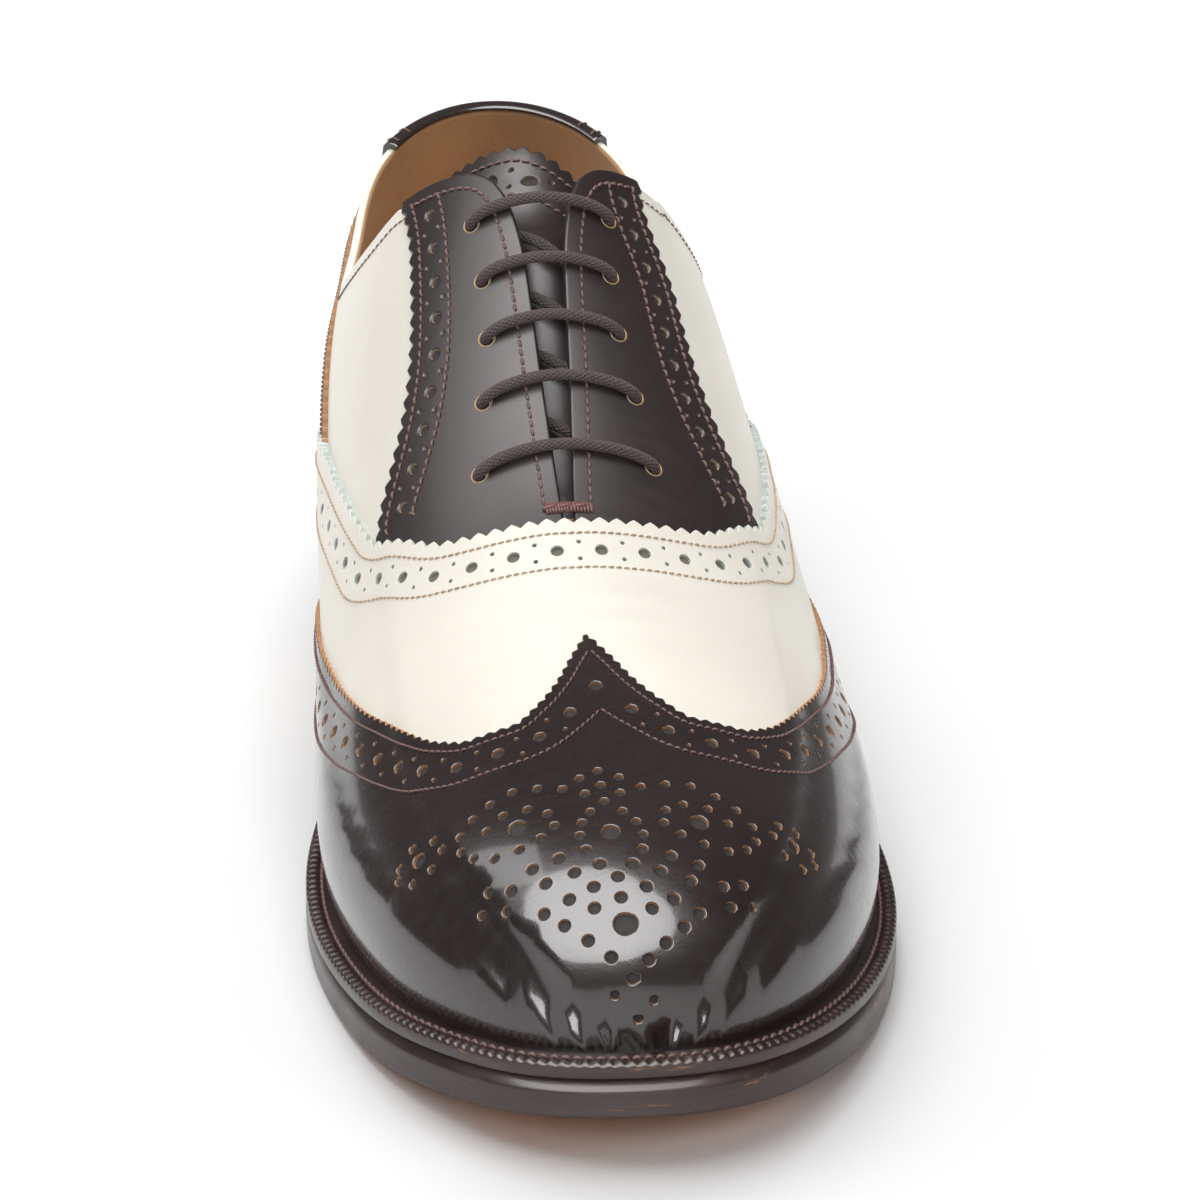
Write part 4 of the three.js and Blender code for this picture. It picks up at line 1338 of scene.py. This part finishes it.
def shell(name, turns, tops, covered, materials, slot, replaces=()):
    """The upper's wall along the turns, closed over its rim, with its lining inside.

    materials are the outside, the lining, and the rim where a facing covers it.
    """
    rows, foot, half = 30, -0.01, WALL / 2
    heights = foot + (tops[:, None] - foot) * np.linspace(0, 1, rows)
    turn_grid = np.repeat(turns[:, None], rows, 1)
    normal = last_normal(turn_grid, heights)
    outside = last_point(turn_grid, heights)
    rim_normal = normal[:, -1]
    along = unit(np.gradient(outside[:, -1], axis=0))
    up = unit(np.cross(rim_normal, along))
    angles = np.linspace(0, math.pi, 9)[1:-1]
    middle = outside[:, -1] - rim_normal * half
    rim = np.stack([middle + rim_normal * half * math.cos(a) + up * WALL * 0.45 * math.sin(a) for a in angles], 1)
    rim_shine = np.stack([rim_normal * math.cos(a) + up * math.sin(a) for a in angles], 1)
    inside = (outside - normal * WALL)[:, ::-1]
    points = np.concatenate((outside, rim, inside), 1)
    shine = np.concatenate((normal, rim_shine, -normal[:, ::-1]), 1)
    skin = Skin()
    index = skin.add(points).reshape(points.shape[:2])
    crest = rows + 3
    for i in range(points.shape[1]):
        j = (i + 1) % points.shape[1]
        kind = 0 if i < crest else 1
        if rows - 1 <= i <= rows + len(angles) - 2:
            throat = np.where((turns[:-1] < HEEL_BACK) & (i in (crest, crest + 1)), 1, 2)
            kind = np.where(covered[:-1], throat, 0 if i <= crest else 1)
        skin.strip(index[:, i], index[:, j], shine[:, i], shine[:, j], kind, closed=False)
    for end, way in ((0, -1), (-1, 1)):
        skin.face(index[end][None], along[end] * way, 1)
    return skin.piece(name, materials, slot, replaces)


def quarters():
    """The upper's sides and back in cream, with the stitches under their collar."""
    half = np.concatenate((np.linspace(5.6, 8.6, 60)[:-1], np.linspace(8.6, 9.6, 44)[:-1],
                           np.linspace(9.6, HEEL_BACK, 120)))
    turns = np.concatenate((half, LOOP - half[::-1][1:]))
    station = np.minimum(turns, LOOP - turns)
    rim = collar_side(turns)
    outer = np.where(turns < HEEL_BACK, outer_edge(station, 1), outer_edge(station, -1))
    covered = (rim < outer - 0.02) & (station < 9.4)
    shell("quarter_leather", turns, 1 - rim - np.where(covered, 0.03, 0.002), covered,
          (finish("cream"), finish("lining"), finish("dark")), "cream_leather", ("upper",))
    stations = np.linspace(9.13, LOOP - 9.13, 1200)
    rim = np.stack((stations, 1 - collar_side(stations)), -1)
    rim = resample(BACK, rim, 1.0)
    row = without_folds(BACK, rim, shifted(BACK, rim, -3.0, 0.0), 0.0)
    keep = np.abs(row[:, 0] - HEEL_BACK) > HEEL_BACK - STRAP + 0.1
    inner, outer = row[keep & (row[:, 0] > HEEL_BACK)], row[keep & (row[:, 0] < HEEL_BACK)]
    stitches("collar_stitching", [run(BACK, line, 1.8, 0.0) for line in (inner, outer)], 0.17,
             finish("dark_thread"))


def toe_lining():
    """The lining of the toe, on the inside of the wall."""
    stations, sides = np.linspace(0.4, 6.4, 60), np.linspace(-0.99, 0.99, 60)
    q = np.stack(np.meshgrid(stations, sides, indexing="ij"), -1)
    normal = FRONT.normal(q)
    skin = Skin()
    outer = skin.add(FRONT.at(q, -WALL + 0.7)).reshape(q.shape[:2])
    inner = skin.add(FRONT.at(q, -WALL)).reshape(q.shape[:2])
    for i in range(len(stations) - 1):
        skin.strip(outer[i], outer[i + 1], normal[i], normal[i + 1], 0, closed=False)
        skin.strip(inner[i], inner[i + 1], -normal[i], -normal[i + 1], 0, closed=False)
    for a, b, way in ((outer[0], inner[0], FRONT.slopes(q[0], 0.0)[..., 0] * -1),
                      (outer[-1], inner[-1], FRONT.slopes(q[-1], 0.0)[..., 0]),
                      (outer[:, 0], inner[:, 0], FRONT.slopes(q[:, 0], 0.0)[..., 1] * -1),
                      (outer[:, -1], inner[:, -1], FRONT.slopes(q[:, -1], 0.0)[..., 1])):
        skin.strip(a, b, unit(way), unit(way), 0, closed=False)
    skin.piece("toe_lining", (finish("lining"),), "lining_leather")


# Bottom

def plan_point(turn, width):
    """A point of the sole's outline: the feather line moved outward."""
    def at(place):
        return np.stack((LAST["side"](place) * BALL_WIDTH, HEEL_CENTRE - LAST["back"](place) * LAST_LENGTH), -1)
    tiny = 0.01
    along = unit(at(turn + tiny) - at(turn - tiny))
    return at(turn) + np.stack((along[..., 1], -along[..., 0]), -1) * np.asarray(width)[..., None]


def even_turns(spacing, width=5.0):
    turns = np.linspace(0, LOOP, 6001)
    lengths = lengths_along(plan_point(turns, np.full(6001, width)))
    count = int(lengths[-1] / spacing)
    return np.interp(np.linspace(0, lengths[-1], count, endpoint=False), lengths, turns)


def plan_loop(spacing, width):
    """An outline round the sole, with evenly spaced points."""
    turns = even_turns(spacing)
    return plan_point(turns, width(turns))


def edge_width(turns):
    return LAST["edge"](turns)


def outsole():
    """The sole, a little deeper at the toe than the CAD one."""
    outline = plan_loop(2.0, lambda turns: edge_width(turns) - 0.5)

    def deeper(back):
        return EXTRA_TOE * smooth((np.asarray(back) - 200) / 70)
    under = level_plane(lambda back: sole_height(back) - deeper(back), -1)
    edge = [(0, 0, 0), (0.28, 0.1, 0.7), (0.5, 0.5, 1.3), (0.55, 1.2, math.pi / 2), (0.55, 4.6, math.pi / 2),
            (0.3, 5.3, 2.0), (-0.2, OUTSOLE, 2.4)]
    panel("outsole_leather", under, outline, [], 0.0, lambda q: -OUTSOLE - deeper(HEEL_CENTRE - q[..., 1]), 0.3, 4.0,
          (finish("tread"), finish("sole"), finish("sole"), finish("sole")), "sole_leather", ("outsole",), edge=edge)


# The welt's section: out from the feather line or, for the last rows, from the sole's edge, then up from
# its underside, and how deep the wheel marks cut
WELT_INSIDE = ((-WELT_STRIP, 0.0), (-WELT_STRIP, WELT - 0.1), (0.5, WELT - 0.1))
WELT_OUTSIDE = (
    (-3.6, WELT - 0.15, 0.0), (-3.1, WELT - 0.55, 0.0), (-2.6, WELT - 0.2, 0.25), (-1.9, WELT + 0.12, 0.5),
    (-1.2, WELT + 0.1, 0.55), (-0.6, WELT - 0.15, 0.45), (-0.15, WELT - 0.6, 0.2), (0.0, WELT - 1.2, 0.0),
    (0.0, 0.4, 0.0), (-0.4, 0.0, 0.0))


def welt():
    """The welt, with a wheel mark for every stitch."""
    pitch = mm(sizes().welt_stitch)
    turns = even_turns(0.3)
    count = len(turns)
    edge = edge_width(turns)
    lengths = lengths_along(np.concatenate((plan_point(turns, edge), plan_point(turns[:1], edge[:1]))))
    marks = round(lengths[-1] / pitch)
    wave = (0.5 + 0.5 * np.cos(2 * math.pi * marks * lengths[:-1] / lengths[-1])) ** 0.7
    base = OUTSOLE + GAP
    sections = [(np.full(count, out), rise, 0.0) for out, rise in WELT_INSIDE]
    sections += [(edge + out, rise, cut) for out, rise, cut in WELT_OUTSIDE]
    rows = []
    for width, rise, cut in sections:
        plan = plan_point(turns, width)
        height = sole_height(HEEL_CENTRE - plan[:, 1]) + base + rise - cut * (1 - wave)
        rows.append(np.column_stack((plan, height)))
    number = len(rows)
    faces = [(i * count + j, i * count + (j + 1) % count, ((i + 1) % number) * count + (j + 1) % count,
              ((i + 1) % number) * count + j) for i in range(number) for j in range(count)]
    mesh = simple_mesh("welt_leather", np.array(rows), faces, finish("sole"))
    facing_out(mesh)
    dress(mesh, "welt_leather", ("welt",))
    surface = level_plane(lambda back: sole_height(back) + base + WELT - 0.45, 1)
    row = plan_point(turns, edge - 3.1)
    stitches("welt_stitching", [run(surface, np.concatenate((row, row[:1])), pitch, 0.0)], 0.42,
             finish("dark_thread"))


def heel_outline(taper, spacing=1.6):
    """The heel's outline, closed by its straight breast."""
    turns = even_turns(spacing)
    loop = plan_point(turns, edge_width(turns) - taper - 0.3)
    line = HEEL_CENTRE - HEEL_BREAST
    kept = loop[loop[:, 1] > line]
    jump = np.argmax(np.linalg.norm(np.roll(kept, -1, axis=0) - kept, axis=1))
    kept = np.roll(kept, -jump - 1, axis=0)
    start, end = kept[-1], kept[0]
    count = int(abs(start[0] - end[0]) / spacing)
    breast = np.stack((np.linspace(start[0], end[0], count), np.full(count, line)), -1)
    return np.concatenate((kept, breast))


def heel():
    lifts = round((HEEL_HEIGHT - TOP_PIECE) / LIFT)
    for i in range(lifts):
        low = TOP_PIECE + i * LIFT
        surface = level_plane(lambda back, z=low: np.full(np.shape(back), z), 1)
        thickness = LIFT - SEAT_IN if i < lifts - 1 else LIFT
        panel(f"heel_lift_leather_{i + 1}", surface, heel_outline(HEEL_FLARE * (lifts - 1 - i)), [], thickness, 0.0,
              0.22, 5.0, (finish("heel"), finish("heel"), finish("heel"), finish("heel")), "sole_leather",
              (f"heel_lift_{i + 1}",), edge=rounded(0.22, 1.0))
    tread = level_plane(lambda back: np.zeros(np.shape(back)), -1)
    outline = heel_outline(HEEL_FLARE * lifts)
    pins = resample(tread, np.concatenate((outline, outline[:1])), 11.0)
    centre = outline.mean(0)
    pins = centre + (pins - centre) * 0.84
    panel("heel_tread", tread, outline, [(q, 1.6) for q in pins[:-1]], 0.0, -(TOP_PIECE - SEAT_IN), 0.25, 5.0,
          (finish("rubber"), finish("rubber"), finish("brass"), finish("rubber")), "heel_rubber",
          ("heel_top_piece",), edge=rounded(0.3, 1.0))


def sock():
    surface = level_plane(lambda back: sole_height(back) + FEATHER, 1)
    outline = plan_loop(2.5, lambda turns: np.full(len(turns), -WALL - 0.4))
    panel("sock_leather", surface, outline, [], INSOLE, 0.1, 0.3, 4.0,
          (finish("lining"), finish("lining"), finish("lining")), "lining_leather", ("insole",))


# Lacing

def smooth_route(points, samples=9):
    """The CAD's own curve through the lace's points."""
    points = np.array(points, float)
    ends = (2 * points[0] - points[1], 2 * points[-1] - points[-2])
    full = np.concatenate((ends[:1], points, ends[1:]))
    route = []
    for i in range(1, len(full) - 2):
        a, b, c, d = full[i - 1:i + 3]
        t0, t1, t2 = (max(np.linalg.norm(q - p), 1e-4) ** 0.5 for p, q in ((a, b), (b, c), (c, d)))
        leave = ((b - a) / t0 - (c - a) / (t0 + t1) + (c - b) / t1) * t1
        arrive = ((c - b) / t1 - (d - b) / (t1 + t2) + (d - c) / t2) * t1
        for s in np.linspace(0, 1, samples, endpoint=False):
            route.append(hermite(b, c, leave, arrive, s))
    return np.array(route + [points[-1]])


def lace_points():
    """The CAD's own points: five bars over the throat, and a hidden run under it to the next pair of holes."""
    over = DARK_TOP + LACE_CLEAR + LACE_CAD / 2
    under = -(WALL + LACE_CLEAR + LACE_CAD / 2)
    places = []
    for i, (station, share) in enumerate(EYELETS):
        if i == 0:
            places.append((station, -share + LACE_TAIL, under))
        places += [(station, -share, -WALL - LACE_CLEAR), (station, -share, DARK_TOP + GAP)]
        places += [(station, share * reach, over) for reach in (-0.7, 0, 0.7)]
        places += [(station, share, DARK_TOP + GAP), (station, share, -WALL - LACE_CLEAR)]
        if i + 1 == len(EYELETS):
            places.append((station, share - LACE_TAIL, under))
            continue
        ahead, side = EYELETS[i + 1]
        places += [(station + (ahead - station) * r, share + (-side - share) * r, under) for r in (0.14, 0.5, 0.86)]
    q = np.array(places)
    return FRONT.at(q[:, :2], q[:, 2])


def lacing():
    cord_piece("lace_cord", smooth_route(lace_points()), mm(sizes().lace) / 2, finish("lace"),
               ("lace",), 20)


def eyelets():
    """Ten worn rims, modelled once and copied to their places."""
    bpy.ops.object.select_all(action="DESELECT")
    bpy.ops.mesh.primitive_torus_add(major_segments=32, minor_segments=10, major_radius=1.72 * MM,
                                     minor_radius=0.2 * MM)
    pattern = bpy.context.object
    bpy.ops.object.shade_smooth()
    for side in (-1, 1):
        for i, (station, share) in enumerate(EYELETS):
            q = np.array((station, share * side))
            place, normal = FRONT.at(q, DARK_TOP - 0.1) * MM, FRONT.normal(q)
            mesh = pattern.data.copy()
            turn = Vector(normal).to_track_quat("Z", "Y").to_matrix().to_4x4()
            turn.translation = Vector(place)
            mesh.transform(turn)
            mesh.materials.append(finish("rim"))
            dress(mesh, f"eyelet_{'outer' if side > 0 else 'inner'}_{i + 1}")
    bpy.data.objects.remove(pattern)


def bar_tack():
    """The thread bar that closes the foot of the throat."""
    q = np.stack((np.full(15, 6.42), np.linspace(-0.052, 0.052, 15)), -1)
    middle, normal = FRONT.at(q, DARK_TOP + 0.25), FRONT.normal(q)
    ahead = unit(FRONT.slopes(q, DARK_TOP)[..., 0])
    across = unit(FRONT.slopes(q[1:-1:5], DARK_TOP)[..., 1])
    stitches("bar_tack", [(middle, ahead, normal, 3.0), (middle[1:-1:5] + normal[1:-1:5] * 0.3, across,
                                                         normal[1:-1:5], 3.6)], 0.36, finish("tack"))


# Stage

FLOOR_WHITE, ROOM_LIGHT = 0.82, 0.12
TOE = (0.0, -0.17, 0.03)
# Lights that leave no reflection: name, place, target, size in metres, watts
SOFT_LIGHTS = (
    ("key", (-0.1, 0.2, 1.15), TOE, (0.9, 0.9), 11.5),
    ("front_fill", (-0.4, -1.3, 0.9), TOE, (0.8, 0.6), 3.2),
    ("outer_fill", (1.0, -0.6, 0.6), TOE, (0.6, 0.6), 3.0),
    ("backdrop_fill", (0.0, 1.0, 1.3), (0.0, 0.5, 0.0), (1.4, 0.8), 12.0),
)
SOFTBOX = ("softbox", (-0.22, -0.74, 0.95), TOE, (1.9, 1.6), 54.0)
LEFT_PANEL = ("panel_left", (-0.75, 0.08, 0.85), (0.0, -0.1, 0.1), (0.4, 0.55), 2.2)
CAMERA_PLACE, CAMERA_AIM = (-0.078285, -1.1038, 0.518862), (0.0116, -0.105, 0.0355)
CAMERA_LENS = 168.0


def area(name, place, target, size, power):
    data = bpy.data.lights.new(name, "AREA")
    data.shape, data.size, data.size_y = "RECTANGLE", size[0], size[1]
    data.energy = power
    lamp = bpy.data.objects.new(name, data)
    bpy.context.scene.collection.objects.link(lamp)
    lamp.location = place
    lamp.rotation_euler = (Vector(target) - Vector(place)).to_track_quat("-Z", "Y").to_euler()
    return lamp


def stage():
    scene = bpy.context.scene
    bpy.ops.object.select_all(action="DESELECT")
    bpy.ops.mesh.primitive_plane_add(size=8.0, location=(0, 0, 0))
    floor = bpy.context.object
    floor.name = "floor"
    floor.data.materials.append(Finish("floor_paper", Roughness=0.6).done((*[FLOOR_WHITE] * 3, 1)))
    world = bpy.data.worlds.new("studio")
    world.use_nodes = True
    background = world.node_tree.nodes["Background"].inputs
    background["Color"].default_value = (1.0, 1.0, 1.0, 1)
    background["Strength"].default_value = ROOM_LIGHT
    scene.world = world
    scene.view_settings.view_transform = "Standard"
    for light in SOFT_LIGHTS:
        area(*light).visible_glossy = False
    softbox = area(*SOFTBOX)
    softbox.data.shape = "ELLIPSE"
    softbox.visible_diffuse = False
    area(*LEFT_PANEL)
    data = bpy.data.cameras.new("camera")
    camera = bpy.data.objects.new("camera", data)
    scene.collection.objects.link(camera)
    camera.location = CAMERA_PLACE
    camera.rotation_euler = (Vector(CAMERA_AIM) - camera.location).to_track_quat("-Z", "Y").to_euler()
    data.sensor_width = 36.0
    data.lens = CAMERA_LENS
    data.clip_end = 30.0
    scene.camera = camera


# The add-on

class PieceOperator:
    bl_options = {"REGISTER", "UNDO"}

    def execute(self, context):
        self.make()
        return {"FINISHED"}


class SHOE_OT_quarters(PieceOperator, bpy.types.Operator):
    """Makes the cream quarters with their collar and the linings"""
    bl_idname = "shoe.quarters"
    bl_label = "Quarters and linings"

    def make(self):
        quarters()
        toe_lining()


class SHOE_OT_cap(PieceOperator, bpy.types.Operator):
    """Makes the wing cap with its bands and punched ornament"""
    bl_idname = "shoe.cap"
    bl_label = "Wing cap"

    def make(self):
        wing_cap()


class SHOE_OT_vamp(PieceOperator, bpy.types.Operator):
    """Makes the cream vamp with its pinked and punched band"""
    bl_idname = "shoe.vamp"
    bl_label = "Vamp"

    def make(self):
        vamp()


class SHOE_OT_facings(PieceOperator, bpy.types.Operator):
    """Makes the two facings, the tongue and the bar tack"""
    bl_idname = "shoe.facings"
    bl_label = "Facings and tongue"

    def make(self):
        facing(1, "facing_outer")
        facing(-1, "facing_inner")
        tongue()
        bar_tack()


class SHOE_OT_counter(PieceOperator, bpy.types.Operator):
    """Makes the counter with its band"""
    bl_idname = "shoe.counter"
    bl_label = "Counter"

    def make(self):
        counter()
        heel_strap()


class SHOE_OT_lacing(PieceOperator, bpy.types.Operator):
    """Makes the lace and the eyelet rims"""
    bl_idname = "shoe.lacing"
    bl_label = "Lacing"

    def make(self):
        lacing()
        eyelets()


class SHOE_OT_bottom(PieceOperator, bpy.types.Operator):
    """Makes the sock, welt, outsole and heel"""
    bl_idname = "shoe.bottom"
    bl_label = "Bottom"

    def make(self):
        sock()
        welt()
        outsole()
        heel()


class SHOE_OT_stage(PieceOperator, bpy.types.Operator):
    """Makes the floor, the lights and the camera"""
    bl_idname = "shoe.stage"
    bl_label = "Stage"

    def make(self):
        stage()


OPERATORS = (SHOE_OT_stage, SHOE_OT_quarters, SHOE_OT_cap, SHOE_OT_vamp, SHOE_OT_facings, SHOE_OT_counter,
             SHOE_OT_lacing, SHOE_OT_bottom)


class SHOE_PT_panel(bpy.types.Panel):
    bl_label = "Shoe"
    bl_idname = "SHOE_PT_panel"
    bl_space_type = "VIEW_3D"
    bl_region_type = "UI"
    bl_category = "Shoe"

    def draw(self, context):
        for group in (context.scene.shoe_sizes, context.scene.shoe_colours):
            for key in group.__annotations__:
                self.layout.prop(group, key)
        for operator in OPERATORS:
            self.layout.operator(operator.bl_idname)


CLASSES = (ShoeSizes, ShoeColours, *OPERATORS, SHOE_PT_panel)


def register():
    for cls in CLASSES:
        bpy.utils.register_class(cls)
    bpy.types.Scene.shoe_sizes = bpy.props.PointerProperty(type=ShoeSizes)
    bpy.types.Scene.shoe_colours = bpy.props.PointerProperty(type=ShoeColours)


def unregister():
    del bpy.types.Scene.shoe_colours
    del bpy.types.Scene.shoe_sizes
    for cls in reversed(CLASSES):
        bpy.utils.unregister_class(cls)


def main():
    register()
    for operator in OPERATORS:
        getattr(bpy.ops.shoe, operator.bl_idname.split(".")[1])()


if __name__ == "__main__":
    main()
